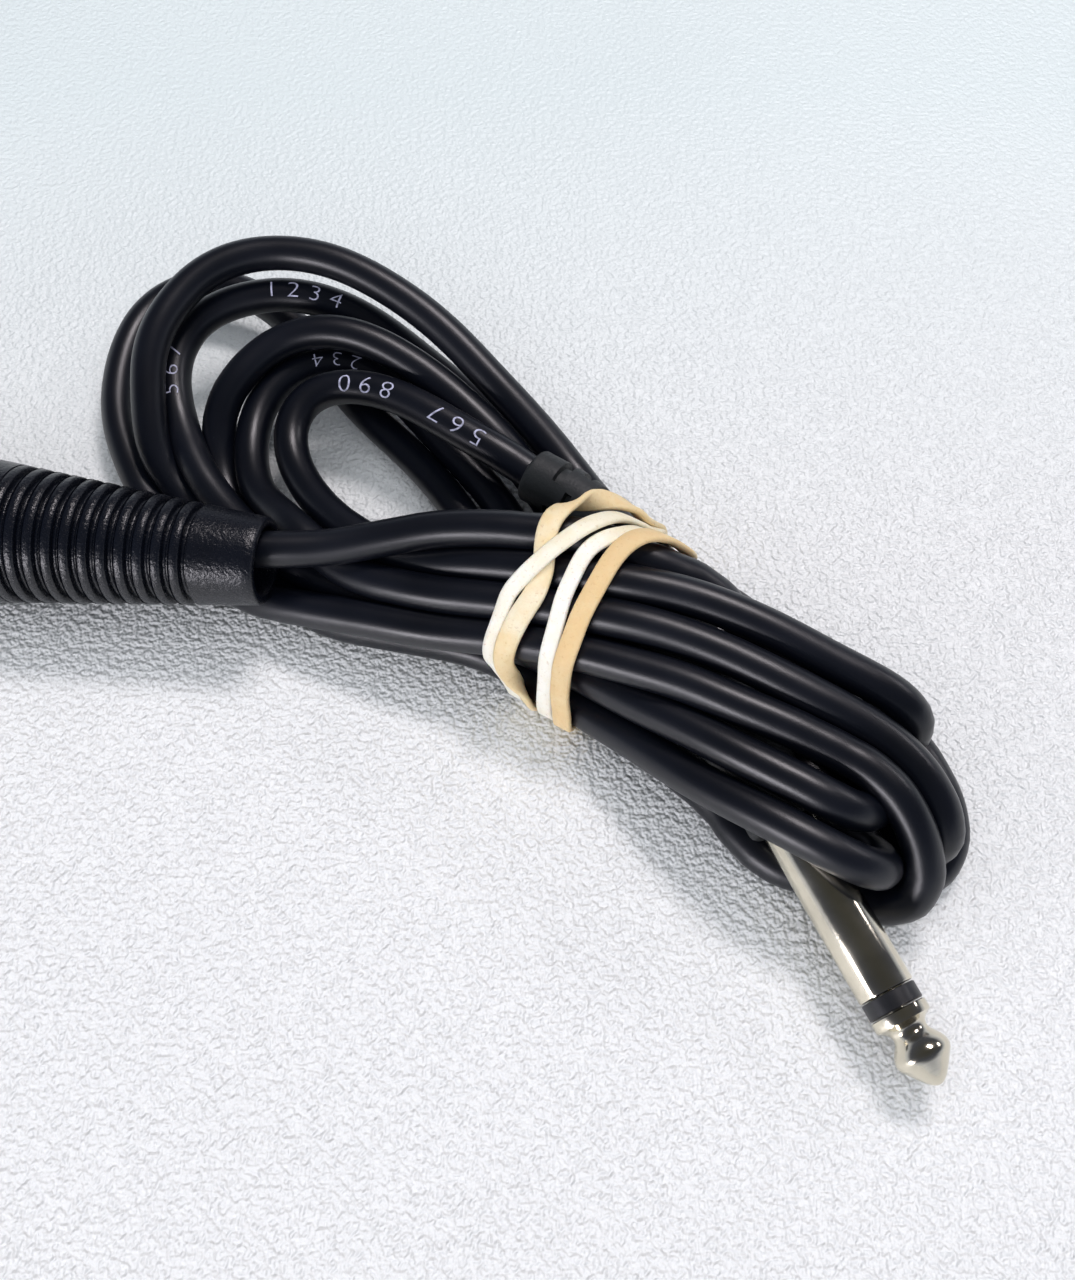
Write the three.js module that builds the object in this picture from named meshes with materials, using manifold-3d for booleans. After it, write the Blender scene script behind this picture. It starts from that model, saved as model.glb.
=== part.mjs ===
// Instrument cable: a socket connector and a quarter-inch plug on 1.6 m of thin black cord,
// coiled and held by a rubber band. Millimetres, +Z up, +X to the right along the coil, -Y to the front.
// The origin is at the bottom centre of the two connectors, on the table.
import * as THREE from 'three';
import { mergeVertices } from 'three/addons/utils/BufferGeometryUtils.js';
import Module from 'manifold-3d';

const wasm = await Module();
wasm.setup();

// ---------- driving dimensions ----------

const gap = 0.3;                  // between pieces that touch
const seam = 0.15;                // hairline between stacked metal and plastic rings
const cordDiameter = 4.5;
const coreDiameter = 1.3;         // insulated inner conductor
const roundSides = 28;
const smallSides = 16;
const cordSides = 10;

// socket connector, measured along its axis from the cord's exit towards the contacts
const boot = { length: 45, exitRadius: 5.35, frontRadius: 9.1, collar: 7.8, frontLand: 8, holeRadius: 4.2,
  edge: 0.4 };
const ribs = { count: 11, pitch: 2.16, groove: 0.95, depth: 0.8 };
const bootNeck = { radius: 7.2, length: 3.2, bore: 5.6 };
const barrel = { radius: 9.5, bore: 7.5, length: 16 };
const nose = { radius: 7.95, bore: 6.65, length: 16 };
const insert = { radius: 6.35, recess: 0.6, backRoom: 1 };   // backRoom: clear of the boot's neck
const contact = { circle: 3.25, radius: 1.75, bore: 1.25, depth: 14, cup: 1.5, cupBore: 1.15, cupLength: 4.5,
  angles: [145, 35, 270] };
// the latch's stations are measured from the back of the metal shell, its heights from the axis;
// the lever turns by the swing, in degrees, before its arm meets the insert
const latch = { width: 4.4, thickness: 1.4, height: 6.4, start: 4, hinge: 5.3, pin: 0.55, padStart: 7.2,
  padEnd: 14.4,
  padHeight: 10.9, hookStart: 17.2, hookEnd: 19.4, hookHeight: 9.1, swing: 6, underRoom: 0.63 };
const latchWindow = { width: 5, start: 3.6, end: 20.2 };
const tongue = { thickness: 0.8, length: 5.2 };
const leaf = { width: 3.2, thickness: 0.3, start: 5.6, fold: 11.2, rise: 1.15 };
const setScrew = { radius: 1.2, depth: 1.2, station: 5.5 };
const groundStrip = { width: 3, thickness: 0.45, length: 7 };
const chuck = { radius: 5, length: 15, jaw: 3.4, start: 22, slot: 1 };
const strippedEnd = 40;           // where the cord's jacket ends inside the boot
const wire = { signal: 0.65, shield: 0.55, jumper: 0.4 };

// plug, measured along its axis from the shoulder towards the tip
const sleeve = { radius: 3.175, length: 19.6, bore: 2.2, neck: 2.9, neckLength: 6 };
const ring = { radius: 3.1, length: 1.95, bore: 1.45 };
const tip = { length: 8.8, collar: 1.5, neck: 1.95, neckEnd: 3.6, ball: 3.05, ballAt: 5.4, point: 0.4,
  rod: 1.05 };
const core = { bore: 1.25, radius: 1.95 };
const groundTag = { radius: 2.95, thickness: 0.45, width: 2.6, length: 11, cradle: 3.5 };
const washer = { radius: 2.2, length: 1.2 };
const lug = { radius: 2.2, width: 2.2, thickness: 0.5, length: 5 };
const handle = { radius: 4.5, length: 30, bore: 3.3, frontWall: 1.5, cavity: 22, edge: 0.8 };
const relief = { radius: 3.5, root: 3, rootLength: 5, slots: 5, slotWidth: 1.2, pitch: 3.6, web: 1.6,
  firstSlot: 3 };
const plugJacketEnd = 16.5;       // the cord's jacket ends this far behind the shoulder
const matingRoom = 6;             // the coil stays clear of the shoulder's face by this much

// where the connectors lie on the table, seen in the coil's own frame: its band crosses x = 6, y = 0
const exitPoint = new THREE.Vector3(-32.7, 6.1, 12.2);
const socketHeading = 171.1;      // degrees from +X, from the cord's exit towards the contacts
const shoulderPoint = new THREE.Vector3(28.2, -26.1, 7.8);
const plugHeading = -64;
const plugDip = 4;                // the tip hangs lower than the shoulder
const reliefEnd = new THREE.Vector3(-1.2, 20.6, 10.6);
const reliefEndHeading = new THREE.Vector3(0.8, -0.6, 0);

// the coil's outer shape, seen from above, and the height of each of its three parts
const coilHeight = { all: 6.4, arch: 20, bundle: 19 };
const coilOutline = [[12, 14], [8, 21], [3, 30], [-4, 40], [-12, 44], [-21, 49], [-32, 53.5], [-43, 53],
  [-52, 52], [-58, 49], [-60, 41], [-59, 32], [-55, 23], [-47, 13], [-37, 4], [-25, -0.5], [-14, -3],
  [-5, -6], [2, -12], [10, -17], [23, -28], [30, -31], [37, -36], [42, -37], [45.5, -33], [48, -27],
  [50.5, -21], [48, -14], [42, -9], [30, -3], [20, 4]];
const archOutline = [[12, 14], [8, 21], [3, 30], [-4, 40], [-12, 44], [-21, 49], [-32, 53.5], [-43, 52],
  [-51, 47], [-53, 37], [-51, 27], [-44, 20], [-34, 20], [-24, 20], [-10, 18], [2, 14]];
const bundleOutline = [[10, 14], [-6, 17], [-10, 9], [-8, -1], [-4, -6], [2, -11], [10, -16], [23, -27],
  [30, -30.5], [37, -35.5], [42, -36.5], [45.5, -33], [48, -27], [50.5, -21], [48, -14], [42, -9], [30, -3],
  [20, 4]];
const coilWindow = [[-31.5, 33], [-28, 36.5], [-21, 31], [-13, 23], [-16, 20], [-23, 20], [-28, 26]];

// rubber band: strips of one band around the bundle, each with its place along the bundle and its tilts
const bundleHeading = -30;
const bundleCentre = new THREE.Vector3(6, 0, 0);
const bundleSection = [[-10, 2.4], [-11.5, 6], [-11, 11], [-8, 16], [-3, 19.3], [3, 20], [9, 19], [15.5, 16.2],
  [19, 11], [17.5, 6], [12, 2.6], [3, 1.5], [-5, 1.5]];
const bundleTaper = 0.35;         // the back of the bundle narrows by this share past the plug's strain relief
const bandZone = 12;              // half the length of bundle that the band's strips cover
const beyond = 200;               // a cut this long passes through the whole object
const band = { width: 3.3, thickness: 0.9 };
const bandStrips = [
  { place: -5.4, turn: 6, lean: -10 }, { place: -2.6, turn: -14, lean: 4 },
  { place: -0.6, turn: -9, lean: 12 }, { place: 2.2, turn: -16, lean: -6 },
];

// free lengths of cord between the connectors and the coil
const socketLead = [[-25, 8.2, 13], [-18.5, 9, 14.2], [-12, 9, 16], [-3.6, 7.3, 17.7]];
const plugLead = [[-4.5, 22.6, 11.6], [-9, 25.5, 12]];

// ---------- materials ----------

const finish = (color, roughness, metalness) => new THREE.MeshStandardMaterial({ color, roughness, metalness });
const nickel = finish(0xb9b4aa, 0.25, 1);
const brass = finish(0xc9a25a, 0.35, 1);
const steel = finish(0xa8a9ab, 0.3, 1);
const copper = finish(0xb8734a, 0.4, 1);
const blackPlastic = finish(0x1b1d20, 0.55, 0);
const softPlastic = finish(0x232629, 0.7, 0);
const cordJacket = finish(0x16181b, 0.4, 0);
const whiteInsulation = finish(0xd9d6cc, 0.5, 0);
const redInsulation = finish(0xa8322a, 0.5, 0);
const tanRubber = finish(0xe5c494, 0.6, 0);

// ---------- shape helpers ----------

// a geometry as a solid: shared corners are merged and empty triangles dropped
function solid(geometry) {
  const bare = new THREE.BufferGeometry();
  bare.setAttribute('position', geometry.getAttribute('position').clone());
  if (geometry.index) bare.setIndex(geometry.index.clone());
  const merged = mergeVertices(bare, 1e-4);
  const corners = merged.index.array;
  const faces = [];
  for (let i = 0; i < corners.length; i += 3) {
    const [a, b, c] = [corners[i], corners[i + 1], corners[i + 2]];
    if (a !== b && b !== c && c !== a) faces.push(a, b, c);
  }
  const body = new wasm.Manifold(new wasm.Mesh({
    numProp: 3, vertProperties: new Float32Array(merged.attributes.position.array),
      triVerts: new Uint32Array(faces),
  }));
  if (body.volume() > 0) return body;
  for (let i = 0; i < faces.length; i += 3) [faces[i], faces[i + 1]] = [faces[i + 1], faces[i]];
  return new wasm.Manifold(new wasm.Mesh({
    numProp: 3, vertProperties: new Float32Array(merged.attributes.position.array),
      triVerts: new Uint32Array(faces),
  }));
}

function geometryOf(body) {
  const { vertProperties, triVerts, numProp } = body.getMesh();
  const points = new Float32Array((vertProperties.length / numProp) * 3);
  for (let i = 0; i < points.length / 3; i++) {
    for (let k = 0; k < 3; k++) points[3 * i + k] = vertProperties[numProp * i + k];
  }
  const geometry = new THREE.BufferGeometry();
  geometry.setAttribute('position', new THREE.BufferAttribute(points, 3));
  geometry.setIndex(new THREE.BufferAttribute(new Uint32Array(triVerts), 1));
  geometry.computeVertexNormals();
  return geometry;
}

const join = (...bodies) => bodies.reduce((whole, body) => whole.add(body));
const cut = (body, ...tools) => tools.reduce((rest, tool) => rest.subtract(tool), body);

// a round piece about its own Z axis, from [radius, height] pairs
function turned(profile, sides = roundSides) {
  const points = profile.map(([radius, height]) => new THREE.Vector2(radius, height));
  points.push(points[0].clone());
  return solid(new THREE.LatheGeometry(points, sides).rotateX(Math.PI / 2));
}

const rod = (radius, from, to, sides) => turned([[0, from], [radius, from], [radius, to], [0, to]], sides);
const tube = (bore, radius, from, to, sides) => turned([[bore, from], [radius, from], [radius, to],
  [bore, to]], sides);

// a box from its lowest to its highest corner
function block([x0, y0, z0], [x1, y1, z1]) {
  const box = new THREE.BoxGeometry(x1 - x0, y1 - y0, z1 - z0);
  return solid(box.translate((x0 + x1) / 2, (y0 + y1) / 2, (z0 + z1) / 2));
}

// a smooth closed outline through a few points
function smoothShape(points, divisions) {
  const curve = new THREE.CatmullRomCurve3(points.map(([x, y]) => new THREE.Vector3(x, y, 0)), true,
    'centripetal');
  return new THREE.Shape(curve.getPoints(divisions).slice(0, -1).map(({ x, y }) => new THREE.Vector2(x, y)));
}

// a flat slab with chamfered edges: stacked layers of one outline, the end layers pulled in
function slab(points, height, divisions = 44, edge = 1.2) {
  const outline = smoothShape(points, divisions).getPoints();
  const inward = outline.map((point, i) => {
    const before = outline[(i + outline.length - 1) % outline.length];
    const after = outline[(i + 1) % outline.length];
    return new THREE.Vector2(before.y - after.y, after.x - before.x).normalize();
  });
  const sense = THREE.ShapeUtils.isClockWise(outline) ? -1 : 1;
  const layers = [[edge, 0], [0, edge], [0, height - edge], [edge, height]];
  const positions = layers.flatMap(([pull, z]) =>
    outline.flatMap((point, i) => [point.x + inward[i].x * pull * sense,
      point.y + inward[i].y * pull * sense, z]));
  const count = outline.length;
  const faces = [];
  for (let layer = 0; layer < layers.length - 1; layer++) {
    for (let i = 0; i < count; i++) {
      const [a, b] = [layer * count + i, layer * count + (i + 1) % count];
      faces.push(a, b, b + count, a, b + count, a + count);
    }
  }
  const cap = THREE.ShapeUtils.triangulateShape(outline, []);
  const top = (layers.length - 1) * count;
  cap.forEach(([a, b, c]) => faces.push(a, c, b, a + top, b + top, c + top));
  const geometry = new THREE.BufferGeometry();
  geometry.setAttribute('position', new THREE.Float32BufferAttribute(positions, 3));
  geometry.setIndex(faces);
  return solid(geometry);
}

function circleShape(radius, sides) {
  const corners = Array.from({ length: sides }, (_, i) => {
    const angle = (i + 0.5) / sides * 2 * Math.PI;
    return new THREE.Vector2(radius * Math.cos(angle), radius * Math.sin(angle));
  });
  return new THREE.Shape(corners);
}

// a cord along a curve, with a step every two or three diameters
function cordAlong(points, radius, steps, sides = cordSides) {
  const curve = new THREE.CatmullRomCurve3(points, false, 'centripetal');
  return solid(new THREE.ExtrudeGeometry(circleShape(radius, sides), { steps, bevelEnabled: false,
    extrudePath: curve }));
}

// a frame whose Z axis points along a heading and whose Y axis points up
function lying(point, heading, rise) {
  const [yaw, pitch] = [THREE.MathUtils.degToRad(heading), THREE.MathUtils.degToRad(rise)];
  const along = new THREE.Vector3(Math.cos(yaw) * Math.cos(pitch), Math.sin(yaw) * Math.cos(pitch),
    Math.sin(pitch));
  const across = new THREE.Vector3(0, 0, 1).cross(along).normalize();
  const up = along.clone().cross(across);
  const group = new THREE.Group();
  group.applyMatrix4(new THREE.Matrix4().makeBasis(across, up, along).setPosition(point));
  group.updateMatrixWorld(true);
  return group;
}

function place(group, name, body, material) {
  const mesh = new THREE.Mesh(geometryOf(body), material);
  mesh.name = name;
  group.add(mesh);
  return mesh;
}

const inFrame = (group, body) => body.transform(group.matrixWorld.elements);
const toWorld = (group, x, y, z) => new THREE.Vector3(x, y, z).applyMatrix4(group.matrixWorld);

// ---------- socket connector ----------

const shellStart = boot.length;                       // the metal shell begins where the boot ends
const noseStart = shellStart + barrel.length;
const socketLength = noseStart + nose.length;
// the barrel's front edge rests on the table, which sets how much the connector dips
const socketDip = THREE.MathUtils.radToDeg(Math.asin((exitPoint.z - barrel.radius) / noseStart));
const socketGroup = lying(exitPoint, socketHeading, -socketDip);

const chuckEnd = chuck.start + chuck.length - 1;      // the clamp's last millimetre stands free of its seat
const bootSlope = (boot.frontRadius - boot.exitRadius) / (boot.length - boot.frontLand);
const bootRadius = (at) => Math.min(boot.exitRadius + bootSlope * at, boot.frontRadius);

function makeBoot() {
  const outside = [[boot.holeRadius, 0], [boot.exitRadius - boot.edge, 0], [bootRadius(boot.edge), boot.edge],
    [bootRadius(boot.collar), boot.collar]];
  for (let i = 0; i < ribs.count; i++) {
    const start = boot.collar + i * ribs.pitch;
    const [grooveEnd, end, floor] = [start + ribs.groove, start + ribs.pitch, bootRadius(start) - ribs.depth];
    outside.push([floor, start + 0.05], [floor, grooveEnd]);
    outside.push([bootRadius(grooveEnd), grooveEnd + 0.05], [bootRadius(end), end]);
  }
  outside.push([boot.frontRadius, boot.length - boot.frontLand], [boot.frontRadius, boot.length - gap / 2]);
  const inside = [[bootNeck.radius, boot.length - gap / 2], [bootNeck.radius, boot.length + bootNeck.length],
    [bootNeck.bore, boot.length + bootNeck.length], [bootNeck.bore, chuckEnd + 1],
    [chuck.radius + gap, chuckEnd], [chuck.radius + gap, chuck.start - gap], [boot.holeRadius, chuck.start - 5]];
  return turned([...outside, ...inside]);
}

function makeChuck() {
  const grip = cordDiameter / 2 + gap;
  const body = turned([[grip, chuck.start], [chuck.jaw, chuck.start], [chuck.radius, chuck.start + 4],
    [chuck.radius, chuck.start + chuck.length], [grip, chuck.start + chuck.length]]);
  const slots = [0, 90].map((angle) => block([-chuck.radius, -chuck.slot / 2, chuck.start - 1],
    [chuck.radius, chuck.slot / 2, chuck.start + chuck.length - 4]).rotate([0, 0, angle]));
  return cut(body, ...slots);
}

function makeShell() {
  const body = turned([[barrel.bore, shellStart + gap / 2], [barrel.radius - 0.3, shellStart + gap / 2],
    [barrel.radius, shellStart + 0.5], [barrel.radius, noseStart - 0.6], [barrel.radius - 0.6, noseStart],
    [nose.radius, noseStart], [nose.radius, socketLength - 0.5], [nose.radius - 0.5, socketLength],
    [nose.bore, socketLength], [nose.bore, noseStart - 2], [barrel.bore, noseStart - 3]]);
  const window = block([-latchWindow.width / 2, latch.height - 2, shellStart + latchWindow.start],
    [latchWindow.width / 2, barrel.radius + 2, shellStart + latchWindow.end]);
  return cut(body, window, screwRod(setScrew.radius + gap / 2, nose.bore - 1, nose.radius + 1),
    latchAxle(latch.pin + axleFit));
}

// a round bar across the connector at the lever's hinge
const axleFit = 0.08;
const hingeHeight = latch.height + latch.thickness / 2;
function latchAxle(radius, reach = barrel.radius) {
  return rod(radius, -reach, reach, smallSides).rotate([0, 90, 0]).translate([0, hingeHeight,
    shellStart + latch.hinge]);
}

// a round bar that points out sideways at the set screw's place
function screwRod(radius, from, to) {
  return rod(radius, from, to, smallSides).rotate([0, 90, 0]).translate([0, 0, noseStart + setScrew.station]);
}

const insertEnd = socketLength - insert.recess;
const insertStart = shellStart + bootNeck.length + insert.backRoom + tongue.length;
const armDrop = (latch.hookEnd - latch.hinge) * Math.sin(THREE.MathUtils.degToRad(latch.swing));
const latchFloor = latch.height - armDrop - latch.underRoom;   // the lever's arm swings down to just above this
const contactFront = insertEnd - 1.5 - gap;

const contactPlaces = contact.angles.map((angle) => {
  const turn = THREE.MathUtils.degToRad(angle);
  return [contact.circle * Math.cos(turn), contact.circle * Math.sin(turn), 0];
});

function makeInsert() {
  const body = rod(insert.radius, insertStart, insertEnd);
  const shelf = block([-latchWindow.width / 2, latchFloor - tongue.thickness, insertStart - tongue.length],
    [latchWindow.width / 2, latchFloor, insertStart + 1]);
  const holes = contactPlaces.map((at) => rod(contact.radius + gap / 2, insertStart - 1, contactFront + gap,
    smallSides).translate(at));
  const mouths = contactPlaces.map((at) => rod(contact.bore + gap / 2, contactFront, insertEnd + 1,
    smallSides).translate(at));
  const latchRoom = block([-latchWindow.width / 2, latchFloor, insertStart - 1],
    [latchWindow.width / 2, insert.radius + 1, shellStart + latchWindow.end]);
  const stripRoom = block([-insert.radius - 1, -groundStrip.width / 2 - gap, insertStart - 1],
    [-insert.radius + groundStrip.thickness + gap, groundStrip.width / 2 + gap,
      insertStart + groundStrip.length + gap]);
  const screwSeat = screwRod(setScrew.radius + gap / 2, insert.radius - setScrew.depth - gap, insert.radius
    + 1);
  return cut(body.add(shelf), ...holes, ...mouths, latchRoom, stripRoom, screwSeat);
}

function makeContact() {
  const back = insertStart - contact.cupLength;
  return turned([[0, contactFront - contact.depth], [contact.bore, contactFront - contact.depth],
    [contact.bore, contactFront], [contact.radius, contactFront], [contact.radius, insertStart - 0.5],
    [contact.cup, insertStart - 0.5], [contact.cup, back], [contact.cupBore, back],
    [contact.cupBore, insertStart - 1.5], [0, insertStart - 1.5]], smallSides);
}

const makeScrew = () => screwRod(setScrew.radius, insert.radius - setScrew.depth, nose.radius - 0.1);

function makeGroundStrip() {
  return block([-insert.radius, -groundStrip.width / 2, insertStart + gap],
    [-insert.radius + groundStrip.thickness, groundStrip.width / 2, insertStart + groundStrip.length]);
}

// a side view [station, height] cut out of sheet of the given width
function sideCut(outline, width) {
  const shape = new THREE.Shape(outline.map(([station, height]) => new THREE.Vector2(station, height)));
  const sheet = new THREE.ExtrudeGeometry(shape, { depth: width, bevelEnabled: false });
  const stand = new THREE.Matrix4().makeBasis(new THREE.Vector3(0, 0, 1), new THREE.Vector3(0, 1, 0),
    new THREE.Vector3(-1, 0, 0));
  return solid(sheet.applyMatrix4(stand).translate(width / 2, 0, shellStart));
}

function makeLatch() {
  const { height, padHeight, hookHeight } = latch;
  const top = height + latch.thickness;
  const lever = sideCut([[latch.start, height], [latch.hookEnd, height], [latch.hookEnd, top],
    [latch.hookEnd - 1, hookHeight],
    [latch.hookStart, hookHeight], [latch.hookStart, top], [latch.padEnd, top], [latch.padEnd, padHeight - 0.6],
    [latch.padEnd - 0.6, padHeight], [latch.padStart + 1.2, padHeight], [latch.padStart, padHeight - 1.2],
    [latch.padStart, top], [latch.start, top]], latch.width);
  return cut(lever, latchAxle(latch.pin + axleFit));
}

function makeLatchPin() {
  return latchAxle(latch.pin, Math.sqrt(barrel.radius ** 2 - hingeHeight ** 2) - 0.6);
}

// a folded leaf spring between the insert's tongue and the lever
function makeLeaf() {
  const low = latchFloor + gap;
  const { start, fold, thickness, rise } = leaf;
  return sideCut([[start, low], [fold, low], [fold + 0.3, low + thickness], [start + 2, low + rise + thickness],
    [start + 1.9, low + rise], [fold - 0.8, low + thickness], [start, low + thickness]], leaf.width);
}

function bareWire(points, radius) {
  return cordAlong(points.map((point) => new THREE.Vector3(...point)), radius, 12, 8);
}

function socketWires() {
  const [shieldCup, signalCup, returnCup] = contactPlaces;
  const cupEnd = insertStart - 2;
  const back = insertStart - contact.cupLength;
  const intoCup = ([x, y], from) => [[x, y, back - 1], [x, y, cupEnd]];
  return {
    signal: bareWire([[0.6, 0.6, strippedEnd + gap], [0.9, 0.9, strippedEnd + 3], ...intoCup(signalCup)],
      wire.signal),
    shield: bareWire([[-1, 0.4, strippedEnd + gap], [-1.4, 0.7, strippedEnd + 3], ...intoCup(shieldCup)],
      wire.shield),
    jumper: bareWire([[shieldCup[0], shieldCup[1] - 1.6, back - 0.8], [-1.4, -1.2, back - 1.6],
      ...intoCup(returnCup)], wire.jumper),
  };
}

function buildSocketConnector() {
  place(socketGroup, 'xlr_boot', makeBoot(), blackPlastic);
  place(socketGroup, 'cable_clamp', makeChuck(), softPlastic);
  place(socketGroup, 'xlr_shell', makeShell(), nickel);
  place(socketGroup, 'xlr_insulator', makeInsert(), blackPlastic);
  contactPlaces.forEach((at, i) => place(socketGroup, `xlr_socket_${i + 1}`, makeContact().translate(at),
    brass));
  place(socketGroup, 'xlr_ground_contact', makeGroundStrip(), brass);
  place(socketGroup, 'insert_screw', makeScrew(), steel);
  place(socketGroup, 'latch_lever', makeLatch(), steel);
  place(socketGroup, 'latch_pivot_pin', makeLatchPin(), steel);
  place(socketGroup, 'latch_spring', makeLeaf(), steel);
  const wires = socketWires();
  place(socketGroup, 'xlr_signal_wire', wires.signal, redInsulation);
  place(socketGroup, 'xlr_shield_wire', wires.shield, copper);
  place(socketGroup, 'xlr_jumper_wire', wires.jumper, copper);
}

// ---------- plug ----------

const plugGroup = lying(shoulderPoint, plugHeading, -plugDip);
const ringStart = sleeve.length + seam;
const tipStart = ringStart + ring.length + seam;

function makeTip() {
  const { collar, neck, neckEnd, ball, ballAt, length, point } = tip;
  const outline = [[0, tipStart], [sleeve.radius, tipStart], [sleeve.radius, tipStart + collar - 0.3],
    [sleeve.radius - 0.3, tipStart + collar], [2.45, tipStart + collar + 0.25], [neck, tipStart + collar + 0.9],
    [neck, tipStart + neckEnd - 0.8], [2.4, tipStart + neckEnd], [ball - 0.15, tipStart + ballAt - 0.9],
    [ball, tipStart + ballAt - 0.3], [ball, tipStart + ballAt + 0.2], [ball - 0.3, tipStart + ballAt + 0.7],
    [point, tipStart + length - 0.15], [0, tipStart + length]];
  const stem = [[0, stemEnd], [tip.rod, stemEnd], [tip.rod, tipStart + 1], [0, tipStart + 1]];
  return turned(outline).add(turned(stem, smallSides));
}

// the parts behind the sleeve are stacked backwards from here
const tagStart = -sleeve.neckLength - 0.2;
const washerStart = tagStart - groundTag.thickness - 0.2;
const lugStart = washerStart - washer.length - 0.2;
const stemEnd = lugStart - lug.thickness - 0.6;       // the tip's stem is riveted just behind the lug

const makeSleeve = () => turned([[sleeve.bore, -sleeve.neckLength], [sleeve.neck, -sleeve.neckLength],
  [sleeve.neck, 0],
  [sleeve.radius, 0], [sleeve.radius, sleeve.length - 0.1], [sleeve.radius - 0.1, sleeve.length],
    [sleeve.bore, sleeve.length]]);

function makeGroundTag() {
  const eye = tube(core.bore, groundTag.radius, tagStart - groundTag.thickness, tagStart);
  const half = groundTag.width / 2;
  const strip = block([-half, -groundTag.radius, tagStart - groundTag.length],
    [half, -groundTag.radius + groundTag.thickness, tagStart]);
  const end = tagStart - groundTag.length;
  const inner = cordDiameter / 2 + 0.2;
  const hoop = cut(tube(inner, inner + groundTag.thickness, end - groundTag.cradle, end + 0.5),
    block([-5, 1, end - groundTag.cradle - 1], [5, 5, end + 1]));
  return join(cut(eye, block([-5, 0.8, tagStart - 1], [5, 5, tagStart + 1])), strip, hoop);
}

function makeLug() {
  const eye = tube(tip.rod + 0.1, lug.radius, lugStart - lug.thickness, lugStart);
  const half = lug.width / 2;
  return eye.add(block([-half, lug.radius - lug.thickness - 0.2, lugStart - lug.length],
    [half, lug.radius - 0.2, lugStart]));
}

function makeHandle() {
  const { radius, length, bore, frontWall, cavity, edge } = handle;
  const cordBore = cordDiameter / 2 + gap;
  return turned([[sleeve.neck + gap, -gap], [radius - edge, -gap], [radius, -gap - edge],
    [radius, -length + 1.5],
    [radius - 0.5, -length], [relief.root + gap, -length], [relief.root + gap, -length + relief.rootLength],
    [cordBore, -length + relief.rootLength], [cordBore, -cavity], [bore, -cavity + 1], [bore, -frontWall - gap],
    [sleeve.neck + gap, -frontWall - gap]]);
}

// the cord's run from inside the plug, through the bent strain relief and out onto the coil
const runBack = [plugJacketEnd, handle.cavity, handle.length - relief.rootLength + 1,
  handle.length].map((back) => toWorld(plugGroup, 0, 0, -back));
const bendGuide = reliefEnd.clone().addScaledVector(reliefEndHeading.clone().normalize(), 9);
const plugRun = new THREE.CatmullRomCurve3(
  [...runBack, bendGuide, reliefEnd, ...plugLead.map((point) => new THREE.Vector3(...point))], false,
    'centripetal');
// knots are evenly spread over the curve
const runKnot = (knot) => knot / (runBack.length + 1 + plugLead.length);

function runPoints(from, to, count) {
  return Array.from({ length: count + 1 }, (_, i) => plugRun.getPoint(from + (to - from) * (i / count)));
}

const reliefSpan = [runKnot(2) + 0.02, runKnot(runBack.length + 1)];

function makeRelief() {
  const [from, to] = [runKnot(runBack.length - 1), reliefSpan[1]];
  const body = cordAlong(runPoints(from + 0.01, to, 12), relief.radius, 12, 14);
  const root = cordAlong(runPoints(reliefSpan[0], from + 0.02, 4), relief.root, 4, 14);
  const bore = cordAlong(runPoints(reliefSpan[0] - 0.03, to + 0.03, 16), cordDiameter / 2 + gap, 16, cordSides);
  const curve = new THREE.CatmullRomCurve3(runPoints(from, to, 16), false, 'centripetal');
  const total = curve.getLength();
  const slots = [];
  for (let i = 0; i < relief.slots; i++) {
    const along = (relief.firstSlot + i * relief.pitch) / total;
    const [at, tangent] = [curve.getPointAt(along), curve.getTangentAt(along)];
    const side = new THREE.Vector3(0, 0, 1).cross(tangent).normalize();
    const up = tangent.clone().cross(side);
    const frame = new THREE.Matrix4().makeBasis(side, up, tangent).setPosition(at);
    const reach = relief.radius + 1;
    const [low, high] = i % 2 ? [[-reach, -reach], [-relief.web, reach]] : [[-reach, relief.web],
      [reach, reach]];
    for (const turn of [0, 180]) {
      const slot = block([...low, -relief.slotWidth / 2], [...high, relief.slotWidth / 2]).rotate([0, 0, turn]);
      slots.push(slot.transform(frame.elements));
    }
  }
  return cut(body.add(root), bore, ...slots);
}

function plugWires() {
  const jacket = -plugJacketEnd + gap;
  const under = lug.radius - lug.thickness - 0.2 - gap - wire.signal;
  const over = -groundTag.radius + groundTag.thickness + gap + wire.shield;
  return {
    signal: bareWire([[0, 0.4, jacket], [0, under, jacket + 2.4], [0, under, stemEnd - gap]], wire.signal),
    shield: bareWire([[0, -1, jacket], [0, over, jacket + 2.2], [0, over, jacket + 5]], wire.shield),
  };
}

function buildPlug() {
  place(plugGroup, 'jack_tip', makeTip(), nickel);
  place(plugGroup, 'jack_tip_ring', tube(ring.bore, ring.radius, ringStart, ringStart + ring.length),
    blackPlastic);
  place(plugGroup, 'jack_sleeve', makeSleeve(), nickel);
  place(plugGroup, 'jack_core_insulator', tube(core.bore, core.radius, -sleeve.neckLength, sleeve.length),
    whiteInsulation);
  place(plugGroup, 'jack_ground_tag', makeGroundTag(), brass);
  place(plugGroup, 'jack_washer', tube(core.bore, washer.radius, washerStart - washer.length, washerStart),
    whiteInsulation);
  place(plugGroup, 'jack_tip_lug', makeLug(), brass);
  place(plugGroup, 'jack_handle', makeHandle(), softPlastic);
  place(world, 'jack_strain_relief', makeRelief(), softPlastic);
  const wires = plugWires();
  place(plugGroup, 'jack_signal_wire', wires.signal, redInsulation);
  place(plugGroup, 'jack_shield_wire', wires.shield, copper);
}

// ---------- cord, coil and rubber band ----------

const socketRun = [strippedEnd, 30, 20, 10, 0, -4].map((at) => toWorld(socketGroup, 0, 0, at))
  .concat(socketLead.map((point) => new THREE.Vector3(...point)));

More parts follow.
